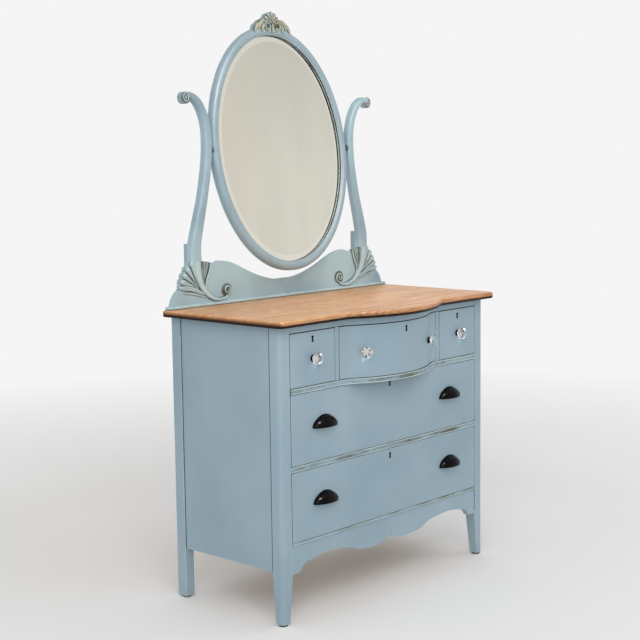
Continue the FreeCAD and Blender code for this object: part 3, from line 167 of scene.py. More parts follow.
class DresserStudio(bpy.types.PropertyGroup):
    """Camera and lamps."""
    place: FloatVectorProperty(name="Camera place", description="Where the camera stands", subtype="XYZ",
                               unit="LENGTH", size=3, default=(-3.1628, -2.8098, 1.3390))
    heading: degrees("Heading", "Camera turned to the right of straight ahead", 47.57)
    dip: degrees("Dip", "Camera looking down", 6.99)
    roll: degrees("Roll", "Camera leaning to its left", 0.74)
    lens: figure("Lens", "Focal length", 76.73, "DISTANCE_CAMERA")
    key: figure("Key lamp", "Strength of the large lamp", 112, min=0)
    fill: figure("Fill lamp", "Strength of the lamp opposite", 30, min=0)
    spark: figure("Small lamp", "Strength of the small lamp that gives glints", 400, min=0)
    room: figure("Room light", "Even light from all round", 0.66, min=0)
    backdrop: figure("Backdrop", "Brightness of what is seen behind the dresser", 0.913, min=0)


def sizes():
    return bpy.context.scene.dresser_sizes


# ---- Node trees ----

class Net:
    """A node tree in the making. Where a value is asked for, another node's output does as well."""

    def __init__(self, tree):
        self.tree = tree

    def feed(self, socket, value):
        """Give a socket its value, or the link that brings it."""
        if isinstance(value, bpy.types.NodeSocket):
            self.tree.links.new(value, socket)
        else:
            socket.default_value = value

    def put(self, kind, settings=None, **inputs):
        """Add a node, with its settings and its inputs."""
        made = self.tree.nodes.new(kind)
        for name, value in (settings or {}).items():
            setattr(made, name, value)
        for name, value in inputs.items():
            self.feed(made.inputs[name.replace("_", " ")], value)
        return made

    def reckon(self, operation, *terms, kind="Math"):
        """Outputs of a node that works out a number, or one that works with vectors."""
        made = self.put("ShaderNode" + kind, {"operation": operation})
        for socket, term in zip(made.inputs, terms):
            self.feed(socket, term)
        return made.outputs

    def times(self, *terms):
        return self.reckon("MULTIPLY", *terms)[0]

    def minus(self, *terms):
        return self.reckon("SUBTRACT", *terms)[0]

    def larger(self, *terms):
        return self.reckon("MAXIMUM", *terms)[0]

    def seen_as(self, own, backdrop, share=1.0):
        """Backdrop where a camera, a reflection or glass looks, else the surface's own shader."""
        rays = self.put("ShaderNodeLightPath").outputs
        seen = self.larger(rays["Is Camera Ray"], rays["Is Glossy Ray"])
        seen = self.larger(seen, rays["Is Transmission Ray"])
        both = self.put("ShaderNodeMixShader")
        for socket, value in zip(both.inputs, (self.times(seen, share), own, backdrop)):
            self.feed(socket, value)
        return both.outputs[0]


class Recipe(Net):
    """A material in the making."""

    def __init__(self, name):
        self.material = bpy.data.materials.new(name)
        self.material.use_nodes = True
        super().__init__(self.material.node_tree)
        self.tree.nodes.clear()
        self.tones = bpy.context.scene.dresser_finish
        self.shader = self.put("ShaderNodeBsdfPrincipled")
        self.end = self.put("ShaderNodeOutputMaterial", Surface=self.shader.outputs[0])
        self.place = self.put("ShaderNodeTexCoord").outputs["Object"]

    def noise(self, scale, detail=4.0, stretch=(1, 1, 1), rough=0.5):
        """Noise on object coordinates, longer along the axes whose stretch is small."""
        mapped = self.put("ShaderNodeMapping", Vector=self.place, Scale=stretch)
        return self.put("ShaderNodeTexNoise", Vector=mapped.outputs[0], Scale=scale, Detail=detail,
                        Roughness=rough).outputs["Fac"]

    def spread(self, value, low, high, start=0.0, end=1.0):
        """Stretch the stretch from low to high over start to end, and stop there."""
        return self.put("ShaderNodeMapRange", {"clamp": True}, Value=value, From_Min=low, From_Max=high,
                        To_Min=start, To_Max=end).outputs[0]

    def vary(self, noise, start, end):
        """Stretch the middle of a noise over start to end."""
        return self.spread(noise, 0.3, 0.7, start, end)

    def blend(self, share, first, second):
        """Colour between two, by a share from 0 to 1."""
        made = self.put("ShaderNodeMix", {"data_type": "RGBA"})
        self.feed(made.inputs[0], share)
        for socket, shade in zip(made.inputs[6:8], (first, second)):
            self.feed(socket, shade if isinstance(shade, bpy.types.NodeSocket) else (*shade, 1))
        return made.outputs[2]

    def glaze(self, base, *coats):
        """Colour with coats over it, one after the other: pairs of a share and a shade."""
        for share, shade in coats:
            base = self.blend(share, base, shade)
        return base

    def marked(self, name):
        """Share of a finish that is marked on the mesh."""
        return self.put("ShaderNodeAttribute", {"attribute_name": name}).outputs["Fac"]

    def split(self, vector):
        return self.put("ShaderNodeSeparateXYZ", Vector=vector).outputs

    def facing(self):
        return self.put("ShaderNodeNewGeometry").outputs["True Normal"]

    def done(self, base, rough, bump=None, **others):
        """The material with its colour, its roughness, its bump (height, depth, strength) and the rest."""
        if bump:
            height, depth, strength = bump
            others["Normal"] = self.put("ShaderNodeBump", Height=height, Distance=depth,
                                        Strength=strength).outputs[0]
        for name, value in {"Base_Color": base, "Roughness": rough, **others}.items():
            self.feed(self.shader.inputs[name.replace("_", " ")], value)
        return self.material


def dimmed(shade, share):
    return [value * share for value in shade]


# ---- Materials ----

STROKES = {"x": (0.04, 1, 1), "y": (1, 0.04, 1), "z": (1, 1, 0.04)}


def brushed_paint(name, strokes_along, waxed=False):
    """Brushed chalk paint: strokes along one axis, edges made pale by paint wear and by a painted highlight,
    olive wax where it is marked.

    Waxed paint, for the carving, also has wax pooled in its hollows and gilt on its high parts.
    """
    mix = Recipe(name)
    tones = mix.tones
    clouds = mix.noise(3.2, 3)
    grit = mix.noise(420, 5, rough=0.6)
    strokes = mix.noise(300, 4, STROKES[strokes_along], 0.6)
    patches = mix.spread(mix.noise(26, 4), 0.4, 0.6)
    # Rounded edges and marked crowns turn pale: paint wear, and a painted highlight where light catches them.
    rounded = mix.put("ShaderNodeBevel", {"samples": 4}, Radius=2.2 * MM).outputs[0]
    turn = mix.reckon("DOT_PRODUCT", rounded, mix.facing(), kind="VectorMath")["Value"]
    lightened = mix.times(mix.spread(turn, 0.998, 0.94), mix.spread(patches, 0, 1, 0.25, 0.9))
    rub_and_highlight = mix.times(mix.marked("rub_and_highlight"), mix.spread(patches, 0, 1, 0.45, 1))
    coats = [(mix.times(mix.spread(strokes, 0.45, 0.75), 0.14), tones.paint_pale),
             (mix.larger(lightened, rub_and_highlight), tones.rubbed_and_highlight)]
    if waxed:
        broken = mix.spread(mix.noise(45, 5, rough=0.6), 0.3, 0.6, 0.62, 1)
        hollow = mix.put("ShaderNodeAmbientOcclusion", {"samples": 8, "only_local": True}, Distance=8 * MM)
        pooled = mix.spread(hollow.outputs["AO"], 0.92, 0.5)
        wax = mix.larger(mix.times(mix.marked("wax"), broken), pooled)
        coats.append((mix.times(mix.marked("gilt"), mix.spread(patches, 0, 1, 0.5, 1)), tones.gilt))
    else:
        broken = mix.spread(mix.noise(13, 6, rough=0.65), 0.42, 0.64, 0.12, 1)
        wax = mix.times(mix.marked("wax"), broken)
    base = mix.blend(mix.spread(clouds, 0.35, 0.65), tones.paint_deep, tones.aged if waxed else tones.paint)
    base = mix.glaze(base, *coats, (wax, tones.wax))
    height = mix.reckon("ADD", strokes, mix.times(grit, 0.5))[0]
    return mix.done(base, mix.vary(clouds, 0.4, 0.54), (height, 0.0002, 0.12))


def stained_edge(name):
    """Dark stained wood on the unpainted edges of the drawer fronts; the same dark finish is painted shade on
    faces in the gaps and in the mirror's rebate.
    """
    mix = Recipe(name)
    stain_and_shade = mix.tones.stain_and_shade
    streak = mix.noise(90, 4, STROKES["x"], 0.6)
    base = mix.blend(mix.spread(streak, 0.35, 0.7), stain_and_shade, dimmed(stain_and_shade, 0.5))
    return mix.done(base, mix.vary(streak, 0.6, 0.8), (streak, 0.0001, 0.1), Specular_IOR_Level=0.2)


def oak(name):
    """Oiled oak boards that run along X, joined edge to edge."""
    mix = Recipe(name)
    tones = mix.tones
    at = mix.split(mix.place)
    joint_share, ring_count = 0.006, 95.0
    boards = mix.times(at["Y"], 1 / OAK_BOARD)
    joint = mix.reckon("LESS_THAN", mix.reckon("FRACT", boards)[0], joint_share)[0]
    number = mix.reckon("FLOOR", boards)[0]
    own = mix.put("ShaderNodeTexWhiteNoise", {"noise_dimensions": "1D"}, W=number).outputs
    offset = mix.put("ShaderNodeVectorMath", {"operation": "SCALE"}, Vector=own["Color"], Scale=3.0)
    mix.place = mix.reckon("ADD", mix.place, offset.outputs[0], kind="VectorMath")[0]
    waves = mix.noise(1.5, 3, (1.1, 9, 9))
    rings = mix.spread(mix.reckon("SINE", mix.times(waves, ring_count))[0], -0.9, 1)
    plain = mix.spread(mix.noise(2.2, 2, (0.5, 2, 2)), 0.36, 0.64, 0.3, 1)
    streak = mix.noise(60, 5, (0.05, 1, 1), 0.65)
    pores = mix.spread(mix.noise(520, 3, (0.035, 1, 1)), 0.56, 0.68)
    way = mix.split(mix.facing())
    # Painted shade: the lower part of the top's edge goes dark, most on the left end, and its coat and gloss
    # thin there.
    low = mix.spread(at["Z"], TOP_Z - 3 * MM, TOP_Z - 11.5 * MM)
    end = mix.larger(mix.spread(way["X"], -0.2, -0.8, 0.25, 0.9),
                     mix.spread(at["Z"], TOP_Z - 10 * MM, TOP_Z - 13.5 * MM, 0.2, 1))
    lower_edge_shading = mix.times(low, end)
    base = mix.glaze(mix.blend(mix.times(rings, plain), tones.oak_pale, tones.oak),
                     (mix.spread(streak, 0.44, 0.74, 0, 0.62), tones.oak_deep),
                     (mix.times(pores, 0.45), tones.oak_deep),
                     (mix.spread(own["Value"], 0, 1, 0, 0.4), tones.oak),
                     (mix.times(joint, 0.5), tones.oak_deep),
                     # Painted shade: faces turned away from up are darker.
                     (mix.spread(way["Z"], 0.9, 0.3, 0, 0.4), tones.oak_deep),
                     (lower_edge_shading, tones.lower_edge_shade))
    height = mix.minus(mix.times(streak, 0.4), pores)
    return mix.done(base, mix.vary(streak, 0.34, 0.5), (height, 0.00025, 0.35), Coat_Roughness=0.28,
                    Coat_Weight=mix.spread(lower_edge_shading, 0, 1, 0.12, 0),
                    Specular_IOR_Level=mix.spread(lower_edge_shading, 0, 1, 0.5, 0.1))


def bare_wood(name, along):
    """Unfinished wood with its grain along one axis."""
    mix = Recipe(name)
    bare = mix.tones.bare
    streak = mix.noise(70, 5, STROKES[along], 0.6)
    base = mix.glaze(bare, (mix.spread(streak, 0.35, 0.7), dimmed(bare, 0.62)),
                     (mix.spread(mix.noise(5, 3), 0.4, 0.7, 0, 0.35), mix.tones.oak_deep))
    return mix.done(base, mix.vary(streak, 0.6, 0.8), (streak, 0.0003, 0.4))


def black_metal(name):
    """Satin black enamel, a little orange-peeled, paler in patches where fingers wear it."""
    mix = Recipe(name)
    black = mix.tones.black
    smears = mix.noise(45, 4)
    lightened = [value * 2 + 0.002 for value in black]
    base = mix.blend(mix.spread(smears, 0.5, 0.75, 0, 0.7), black, lightened)
    return mix.done(base, mix.vary(smears, 0.14, 0.26), (mix.noise(700, 3), 0.0001, 0.12),
                    Specular_IOR_Level=0.08)


def metal(name, shade, dull, tarnish):
    """Old brass or steel with darker, duller patches, and a dark coat where it is marked: the painted dark
    reflections in the knob foil's valleys.
    """
    mix = Recipe(name)
    patches = mix.noise(60, 5)
    scratches = mix.noise(900, 2, (0.08, 1, 1))
    base = mix.glaze(linear(*shade), (mix.spread(patches, 0.4, 0.7, 0, 0.8), linear(*tarnish)),
                     (mix.times(mix.marked("wax"), 0.65), mix.tones.stain_and_shade))
    return mix.done(base, mix.vary(patches, dull, dull + 0.25), (scratches, 0.0001, 0.2), Metallic=1)


def knob_glass(name):
    """Clear pressed glass with the faint waviness of its mould."""
    mix = Recipe(name)
    waves = mix.noise(160, 2)
    base = mix.blend(mix.vary(waves, 0, 1), linear(255, 255, 255), linear(246, 250, 250))
    return mix.done(base, mix.vary(waves, 0.0, 0.04), (waves, 0.0001, 0.25), Transmission_Weight=1, IOR=1.52)


def silvered(name):
    """Old looking glass: a warm, slightly uneven reflection, with painted reflections: darker towards the top
    and the left, and brighter along the bevel.
    """
    mix = Recipe(name)
    silver = mix.tones.silver
    red, green, blue = silver
    haze = mix.noise(3.5, 4, (2.5, 1, 0.6))
    specks = mix.spread(mix.noise(240, 2), 0.74, 0.8)
    at = mix.split(mix.place)
    base = mix.glaze(
        silver, (mix.spread(haze, 0.35, 0.7), dimmed(silver, 0.93)),
        # Painted reflection: darker towards the top and the left, brighter along the bevel.
        (mix.spread(at["Z"], PIVOT.z - 0.1, PIVOT.z + SIGHT_HALF_HEIGHT), dimmed(silver, 0.82)),
        (mix.spread(at["X"], -0.03, -SIGHT_HALF_WIDTH, 0, 0.7), (red * 0.93, green * 0.89, blue * 0.88)),
        (mix.times(mix.marked("bevel"), 0.38), linear(240, 238, 228)),
        (mix.times(specks, 0.2), mix.tones.wax))
    return mix.done(base, mix.vary(haze, 0.015, 0.05), (haze, 0.0001, 0.05), Metallic=1)


def rubber(name):
    """Hard black plastic of the glides."""
    mix = Recipe(name)
    scuffs = mix.noise(120, 4)
    base = mix.blend(mix.spread(scuffs, 0.4, 0.7), linear(24, 24, 25), linear(50, 48, 46))
    return mix.done(base, mix.vary(scuffs, 0.45, 0.7), (scuffs, 0.0002, 0.3))


MAKERS = {
    "paint_across": (brushed_paint, "x"),
    "paint_upright": (brushed_paint, "z"),
    "waxed_paint": (brushed_paint, "x", True),
    "waxed_upright": (brushed_paint, "z", True),
    "stained_edge": (stained_edge,),
    "oak_boards": (oak,),
    "bare_wood_deep": (bare_wood, "y"),
    "bare_wood_across": (bare_wood, "x"),
    "black_enamel": (black_metal,),
    "old_brass": (metal, (176, 140, 84), 0.35, (84, 66, 40)),
    "bright_foil": (metal, (225, 225, 224), 0.12, (190, 190, 188)),
    "dark_steel": (metal, (112, 122, 128), 0.5, (84, 92, 96)),
    "steel": (metal, (150, 148, 145), 0.3, (92, 88, 84)),
    "knob_glass": (knob_glass,),
    "silvering": (silvered,),
    "glide_black": (rubber,),
}


def material_for(name):
    """A finish by its name, made when it is first asked for."""
    maker, *given = MAKERS[name]
    return bpy.data.materials.get(name) or maker(name, *given)


def give_finish(mesh, name):
    """Give a mesh one finish alone."""
    mesh.materials.clear()
    mesh.materials.append(material_for(name))


# ---- Mesh helpers ----

def link(name, mesh):
    piece = bpy.data.objects.new(name, mesh)
    bpy.context.scene.collection.objects.link(piece)
    return piece


def settle(piece, body, slot, finish, *replaced):
    """Give a finished piece its finish and its body, and hide the CAD nodes it stands for. The slot is not
    used.
    """
    give_finish(piece.data, finish)
    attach(piece, body)
    if replaced:
        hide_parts(*replaced)
    return piece


def to_mesh(name, work, sharp, turned_out=False):
    """Mesh with smooth shading except across edges sharper than an angle in degrees."""
    if not turned_out:
        bmesh.ops.recalc_face_normals(work, faces=work.faces)
    for face in work.faces:
        face.smooth = True
    for edge in work.edges:
        edge.smooth = len(edge.link_faces) == 2 and edge.calc_face_angle(0) < math.radians(sharp)
    mesh = bpy.data.meshes.new(name)
    work.to_mesh(mesh)
    work.free()
    return mesh


def finished(name, work, sharp, *home):
    """Piece made of a mesh, settled at home: its body, slot and finish, and the nodes it replaces."""
    return settle(link(name, to_mesh(name, work, sharp)), *home)


def evaluated(piece):
    """Replace a piece's mesh by what its modifiers make of it, and drop them."""
    graph = bpy.context.evaluated_depsgraph_get()
    mesh = bpy.data.meshes.new_from_object(piece.evaluated_get(graph))
    piece.modifiers.clear()
    piece.data = mesh
    return piece


def softened_copy(node, name, width, body, slot, finish):
    """Copy of a CAD node with its edges softened, settled in its place."""
    corner = 32
    work = bmesh.new()
    work.from_mesh(frame["nodes"][node].data)
    bmesh.ops.remove_doubles(work, verts=work.verts, dist=1e-6)
    bmesh.ops.dissolve_limit(work, angle_limit=math.radians(0.5), verts=work.verts, edges=work.edges)
    piece = link(name, to_mesh(name, work, corner, turned_out=True))
    bevel = piece.modifiers.new("Softened edges", "BEVEL")
    bevel.width = width
    bevel.segments = 2
    bevel.limit_method = "ANGLE"
    bevel.angle_limit = math.radians(corner)
    bevel.harden_normals = True
    bevel.use_clamp_overlap = True
    return settle(evaluated(piece), body, slot, finish, node)


def stain_and_shade(piece, inside, finish="stained_edge"):
    """Give another finish to the faces for which inside, told their normal and middle, says so; by default
    the dark finish that is stained edges and painted shade.
    """
    piece.data.materials.append(material_for(finish))
    for face in piece.data.polygons:
        if inside(face.normal, face.center):
            face.material_index = len(piece.data.materials) - 1


def mark(piece, name, amount):
    """Mark a finish's share at each point of a piece, by a function of the point's place."""
    layer = piece.data.attributes.new(name, "FLOAT", "POINT")
    for number, vert in enumerate(piece.data.vertices):
        layer.data[number].value = amount(vert.co)


def layers(work, *names):
    """Layers of the marks that the finishes read."""
    return [work.verts.layers.float.get(name) or work.verts.layers.float.new(name) for name in names]


def row(work, points, place=Matrix()):
    """Row of new points, given in millimetres."""
    return [work.verts.new(place @ (Vector(point) * MM)) for point in points]


def cap(work, around, tip):
    """Faces between a closed row of points and a tip."""
    for number, vert in enumerate(around):
        work.faces.new((vert, around[(number + 1) % len(around)], tip))


def skin(work, rows, tip=None, base=None):
    """Faces between closed rows of points, and over both ends: flat, or up to a tip and down to a base."""
    for first, second in zip(rows, rows[1:]):
        for number in range(len(first)):
            after = (number + 1) % len(first)
            work.faces.new((first[number], first[after], second[after], second[number]))
    for around, point in ((rows[0][::-1], base), (rows[-1], tip)):
        if point:
            cap(work, around, point)
        else:
            work.faces.new(around)


def mirror_over(work):
    """Add the mirror image across the plane x = 0."""
    made = bmesh.ops.duplicate(work, geom=work.verts[:] + work.edges[:] + work.faces[:])["geom"]
    for vert in made:
        if isinstance(vert, bmesh.types.BMVert):
            vert.co.x = -vert.co.x
    bmesh.ops.reverse_faces(work, faces=[item for item in made if isinstance(item, bmesh.types.BMFace)])


# ---- Lines ----

def oval(half_width, half_height, height=0.0, count=180, centre=(0, 0), twist=0.0):
    """Points of a level oval; twist turns them by a share of the step between two."""
    turns = [math.tau * (number + twist) / count for number in range(count)]
    return [(centre[0] + half_width * math.cos(turn), centre[1] + half_height * math.sin(turn), height)
            for turn in turns]


def polar(centre, radius, turn):
    """Point at an angle in degrees from a centre."""
    return (centre[0] + radius * math.cos(math.radians(turn)),
            centre[1] + radius * math.sin(math.radians(turn)))


def arc(centre, radius, start, end, count):
    return [polar(centre, radius, start + (end - start) * number / count) for number in range(count + 1)]


def coil(centre, start, turns, outer, inner, steps=12):
    """Spiral from an angle in degrees, against the clock where turns is positive."""
    count = int(abs(turns) * steps)
    shares = [number / count for number in range(count + 1)]
    return [polar(centre, outer + (inner - outer) * share ** 0.8, start + 360 * turns * share)
            for share in shares]


def front_line():
    """The serpentine front from left to right, in metres, in steps of 2 degrees or less on its arcs."""
    swing = math.degrees(math.asin(BOW_HALF / (CROWN_RADIUS + HOLLOW_RADIUS)))
    count = max(int(swing / 2), 4)
    right = arc((0, CROWN_Y), CROWN_RADIUS, -90, swing - 90, 2 * count)[:-1]
    right += arc((BOW_HALF, FRONT_Y - HOLLOW_RADIUS), HOLLOW_RADIUS, 90 + swing, 90, count)
    right.append((POST_INNER, FRONT_Y))
    return [(-x, y, 0) for x, y in right[:0:-1]] + [(x, y, 0) for x, y in right]


def walk(points, steps=8):
    """Smooth line through points: the share of the way to each spot, the spot, and the way to its left."""
    spots = [Vector((x, y, 0)) for x, y in points]
    last = len(spots) - 1
    slopes = [(spots[min(number + 1, last)] - spots[max(number - 1, 0)]) / (2 if 0 < number < last else 1)
              for number in range(last + 1)]
    line = []
    for number in range(last):
        start, end = spots[number], spots[number + 1]
        line += interpolate_bezier(start, start + slopes[number] / 3, end - slopes[number + 1] / 3, end,
                                   steps + 1)[:-1]
    line.append(spots[-1])
    last = len(line) - 1
    for number, spot in enumerate(line):
        way = line[min(number + 1, last)] - line[max(number - 1, 0)]
        yield number / last, spot, Vector((-way.y, way.x, 0)).normalized()


def along(values, share):
    """Value at a share of the way through a list of evenly spaced values."""
    place = share * (len(values) - 1)
    index = min(int(place), len(values) - 2)
    part = place - index
    return values[index] * (1 - part) + values[index + 1] * part


# ---- Carving ----

ACROSS = [step / 7 for step in range(-7, 8)]


def carved_strip(work, points, widths, heights, groove=0.0, lift=0.0, foot=-1.0, gilt=0.0, wash=0.0,
                 fade=0.0, blunt=0.0):
    """Carved lobe or ridge on a plane: x and y lie in the plane, z stands out of it.

    Widths and heights are spread evenly along the line; foot is how far the lobe goes down behind the
    plane; wash is the least wax on it; fade is how much of the wax along its sides is gone at its tip;
    blunt is the share of its length over which the tip is rounded off.
    """
    wax, rub_and_highlight, gold = layers(work, "wax", "rub_and_highlight", "gilt")
    rows = []
    for share, spot, side in walk(points, 14 if blunt else 8):
        tip = max(share - 1 + blunt, 0) / blunt if blunt else 0
        tip = math.sqrt(1 - 0.94 * tip ** 2)
        half = along(widths, share) / 2 * tip
        height = along(heights, share) * math.sqrt(tip)
        dips = [groove * math.exp(-(across / 0.2) ** 2) * min(1, 5 * share * (1 - share) + 0.2)
                for across in ACROSS]
        crowns = [math.sqrt(max(1 - abs(across) ** 2.4, 0)) for across in ACROSS]
        over = row(work, [spot + side * half * across + Vector((0, 0, lift + height * max(crown - dip, 0)))
                          for across, crown, dip in zip(ACROSS, crowns, dips)])
        for vert, across, dip in zip(over, ACROSS, dips):
            edge = min(max(abs(across) - 0.6, 0) / 0.25, 1) * (1 - fade * share)
            vert[wax] = max(edge, wash, min(dip * 2.6, 1))
            # The crown of each strip is marked pale: paint wear and a painted highlight.
            vert[rub_and_highlight] = max(0, 1 - abs(across) * 1.6) * 0.8
            vert[gold] = gilt * (1 - edge)
        under = row(work, [spot + side * half * across + Vector((0, 0, foot)) for across in (1, -1)])
        for vert in under:
            vert[wax] = 1.0 if foot > -3 else 0.0
        rows.append(over + under)
    skin(work, rows)


def boss(work, centre, radius, out, rise, foot=-1.0, wax_mark=0.0, gilt=0.0):
    """Low round boss on a carving's plane."""
    wax, gold = layers(work, "wax", "gilt")
    rows = [row(work, oval(radius * share, radius * share, height, 36, centre))
            for share, height in ((1, foot), (1, out), (0.94, out + rise * 0.35),
                                  (0.75, out + rise * 0.7), (0.42, out + rise * 0.95))]
    tip, = row(work, [(*centre, out + rise)])
    for vert in sum(rows, [tip]):
        vert[wax], vert[gold] = wax_mark, gilt
    skin(work, rows, tip)


# ---- Pieces grown by node trees ----

def modifier_tree(name, **sockets):
    """New node tree with a socket for each thing it is given, and the outputs of its input node."""
    net = Net(bpy.data.node_groups.new(name, "GeometryNodeTree"))
    for socket, kind in sockets.items():
        net.tree.interface.new_socket(socket, in_out="INPUT", socket_type="NodeSocket" + kind)
    net.tree.interface.new_socket(name, in_out="OUTPUT", socket_type="NodeSocketGeometry")
    return net, net.put("NodeGroupInput").outputs


def hand_out(net, geometry, finish):
    """End of a tree: real copies with their finish."""
    real = net.put("GeometryNodeRealizeInstances", Geometry=geometry)
    done = net.put("GeometryNodeSetMaterial", Geometry=real.outputs[0], Material=finish)
    net.feed(net.put("NodeGroupOutput").inputs[0], done.outputs[0])
    return net.tree


def grown(tree, start, **given):
    """Mesh that a node tree makes of a starting piece; this and the pieces it is given are used up."""
    growth = start.modifiers.new(tree.name, "NODES")
    growth.node_group = tree
    for socket in tree.interface.items_tree:
        if socket.name in given:
            growth[socket.identifier] = given[socket.name]
    evaluated(start)
    work = bmesh.new()
    work.from_mesh(start.data)
    for used in (start, *given.values()):
        if isinstance(used, bpy.types.Object):
            bpy.data.objects.remove(used)
    return work


def moulding_tree():
    """Node tree that runs a profile along a line of edges."""
    if "Moulding" in bpy.data.node_groups:
        return bpy.data.node_groups["Moulding"]
    net, given = modifier_tree("Moulding", Line="Geometry", Profile="Object", Finish="Material")
    line = net.put("GeometryNodeMeshToCurve", Mesh=given["Line"])
    upright = net.put("GeometryNodeSetCurveNormal", {"mode": "Z_UP"}, Curve=line.outputs[0])
    profile = net.put("GeometryNodeObjectInfo", Object=given["Profile"])
    shape = net.put("GeometryNodeMeshToCurve", Mesh=profile.outputs["Geometry"])
    run = net.put("GeometryNodeCurveToMesh", Curve=upright.outputs[0], Profile_Curve=shape.outputs[0],
                  Fill_Caps=True)
    return hand_out(net, run.outputs[0], given["Finish"])


def fan_tree():
    """Node tree that fans copies of a lobe round each spot, the outer ones smaller."""
    net, given = modifier_tree("Fan of lobes", Spots="Geometry", Lobe="Object", Lobes="Int",
                               Spread="Float", Shrink="Float", Finish="Material")
    number = net.put("GeometryNodeInputIndex").outputs[0]
    share = net.minus(net.reckon("DIVIDE", number, net.minus(given["Lobes"], 1))[0], 0.5)
    turn = net.put("ShaderNodeCombineXYZ", Z=net.times(share, given["Spread"]))
    less = net.times(net.times(share, share), given["Shrink"])
    lobe = net.put("GeometryNodeObjectInfo", Object=given["Lobe"])
    fan = net.put("GeometryNodeInstanceOnPoints", Points=given["Spots"], Scale=net.minus(1.0, less),
                  Instance=lobe.outputs["Geometry"], Rotation=turn.outputs[0])
    return hand_out(net, fan.outputs[0], given["Finish"])


def wire(name, points, closed=False):
    """Piece that is a line of edges."""
    last = len(points) - 1
    mesh = bpy.data.meshes.new(name)
    mesh.from_pydata(points, [(number, number + 1) for number in range(last)] + [(last, 0)] * closed, [])
    return link(name, mesh)


def moulding(name, line, profile, marks, home, closed=False, place=Matrix(), sharp=50):
    """Profile of (outwards, upwards) run along a line in the XY plane, and settled at home.

    Marks are pairs of wax and of pale marking for paint wear and painted highlight, one for each point of the
    profile.
    """
    shape = wire(name + "_profile", [(out * MM, -up * MM, 0) for out, up in profile], True)
    work = grown(moulding_tree(), wire(name + "_line", line, closed), Profile=shape,
                 Finish=material_for(home[2]))
    wax, rub_and_highlight = layers(work, "wax", "rub_and_highlight")
    for number, vert in enumerate(work.verts):
        vert[wax], vert[rub_and_highlight] = marks[number % len(profile)]
    work.transform(place)
    bmesh.ops.remove_doubles(work, verts=work.verts, dist=1e-7)
    return finished(name, work, sharp, *home)


# ---- Pieces ----

def make_case():
    """Posts, panels, plain rails and battens: copies of the CAD boards with softened edges.

    Painted shade: thin dark strips under the top rail and in the seams of the side panels, and a dark finish
    on the faces inside the drawer openings.
    """
    made = {}
    for node, finish, wear in (("front_posts", "paint_upright", 1), ("back_posts", "paint_upright", 1),
                               ("side_panels", "paint_upright", 0.4), ("apron", "paint_across", 1.4),
                               ("top_rail", "paint_across", 1.5), ("middle_rail", "paint_across", 0.5),
                               ("muntins", "paint_upright", 1), ("battens", "paint_upright", 1.5)):
        made[node] = softened_copy(node, node + "_painted", sizes().edge * wear, "root", "painted_wood",
                                   finish)
    apron_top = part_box("apron")[1].z
    # Faces inside the drawer openings get the dark finish as painted shade in the gaps.
    stain_and_shade(made["front_posts"], lambda way, spot: abs(way.x) > 0.9 and abs(spot.x) < POST_INNER + 1 * MM
          and spot.z > apron_top)
    stain_and_shade(made["top_rail"], lambda way, spot: way.z < -0.2)
    stain_and_shade(made["middle_rail"], lambda way, spot: abs(way.z) > 0.9)
    stain_and_shade(made["muntins"], lambda way, spot: abs(way.x) > 0.9)
    # Dark strips of painted shade under the top rail and in the panel seams.
    wax = ("root", "painted_wood", "stained_edge")
    moulding("wax_under_top_rail", front_line(), [(-0.5, 0.1), (0.3, 0.1), (0.3, 1.5), (-0.5, 1.5)],
             [(0, 0)] * 4, wax, place=Matrix.Translation((0, 0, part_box("top_rail")[0].z)))
    low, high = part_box("side_panels")
    front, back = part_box("front_posts")[1].y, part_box("back_posts")[0].y
    wide, narrow, thick = 4.4 * MM, 1.8 * MM, 1.2 * MM
    work = bmesh.new()
    for start, end in ((front, front + wide), (back - narrow, back)):
        middle = Vector((high.x, (start + end) / 2, (low.z + high.z) / 2))
        size = Vector((thick, end - start, high.z - low.z))
        place = Matrix.Translation(middle) @ Matrix.Diagonal(size).to_4x4()
        bmesh.ops.create_cube(work, size=1, matrix=place)
    mirror_over(work)
    finished("wax_in_panel_seams", work, 40, *wax)


def keyhole_outline(rim):
    """Round hole over a slot that widens downwards, grown by the rim, round its middle."""
    return arc((0, 4.4), 2.6 + rim, -50, 230, 14) + [(-2 - rim, -7.8 - rim), (2 + rim, -7.8 - rim)]


def make_fronts():
    """Drawer fronts, dark on their edges as stained wood and as painted shade in the gaps, bare inside, and a
    black rim in each keyhole.
    """
    keyhole_drop = 20.4
    for drawer in DRAWERS:
        node = drawer + "_front"
        piece = softened_copy(node, node + "_painted", sizes().edge * 1.2, drawer, "painted_wood",
                              "paint_across")
        front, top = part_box(node)[0].y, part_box(node)[1].z
        # Sides and tops of the fronts get the dark finish: stained edges, and painted shade in the gaps.
        stain_and_shade(piece, lambda way, spot: abs(way.y) < 0.2 and spot.y > front + 2 * MM
              or way.z > 0.3 and way.y > -0.95)
        stain_and_shade(piece, lambda way, spot: way.y > 0.7, "bare_wood_across")
        # Painted shade: a black rim lines each keyhole and rings it, so the dark of the hole reads wider.
        low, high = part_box(drawer + "_lock")
        middle = Vector(((low.x + high.x) / 2, front, top - keyhole_drop * MM)) / MM
        width = sizes().keyhole / MM
        work = bmesh.new()
        skin(work, [row(work, [middle + Vector((across, -out, up)) for across, up in keyhole_outline(rim)])
                    for rim, out in ((width, -0.4), (width, 0.25), (0, 0.25), (0, -1.6))])
        finished(drawer + "_keyhole_rim", work, 20, drawer, "black_iron", "black_enamel")


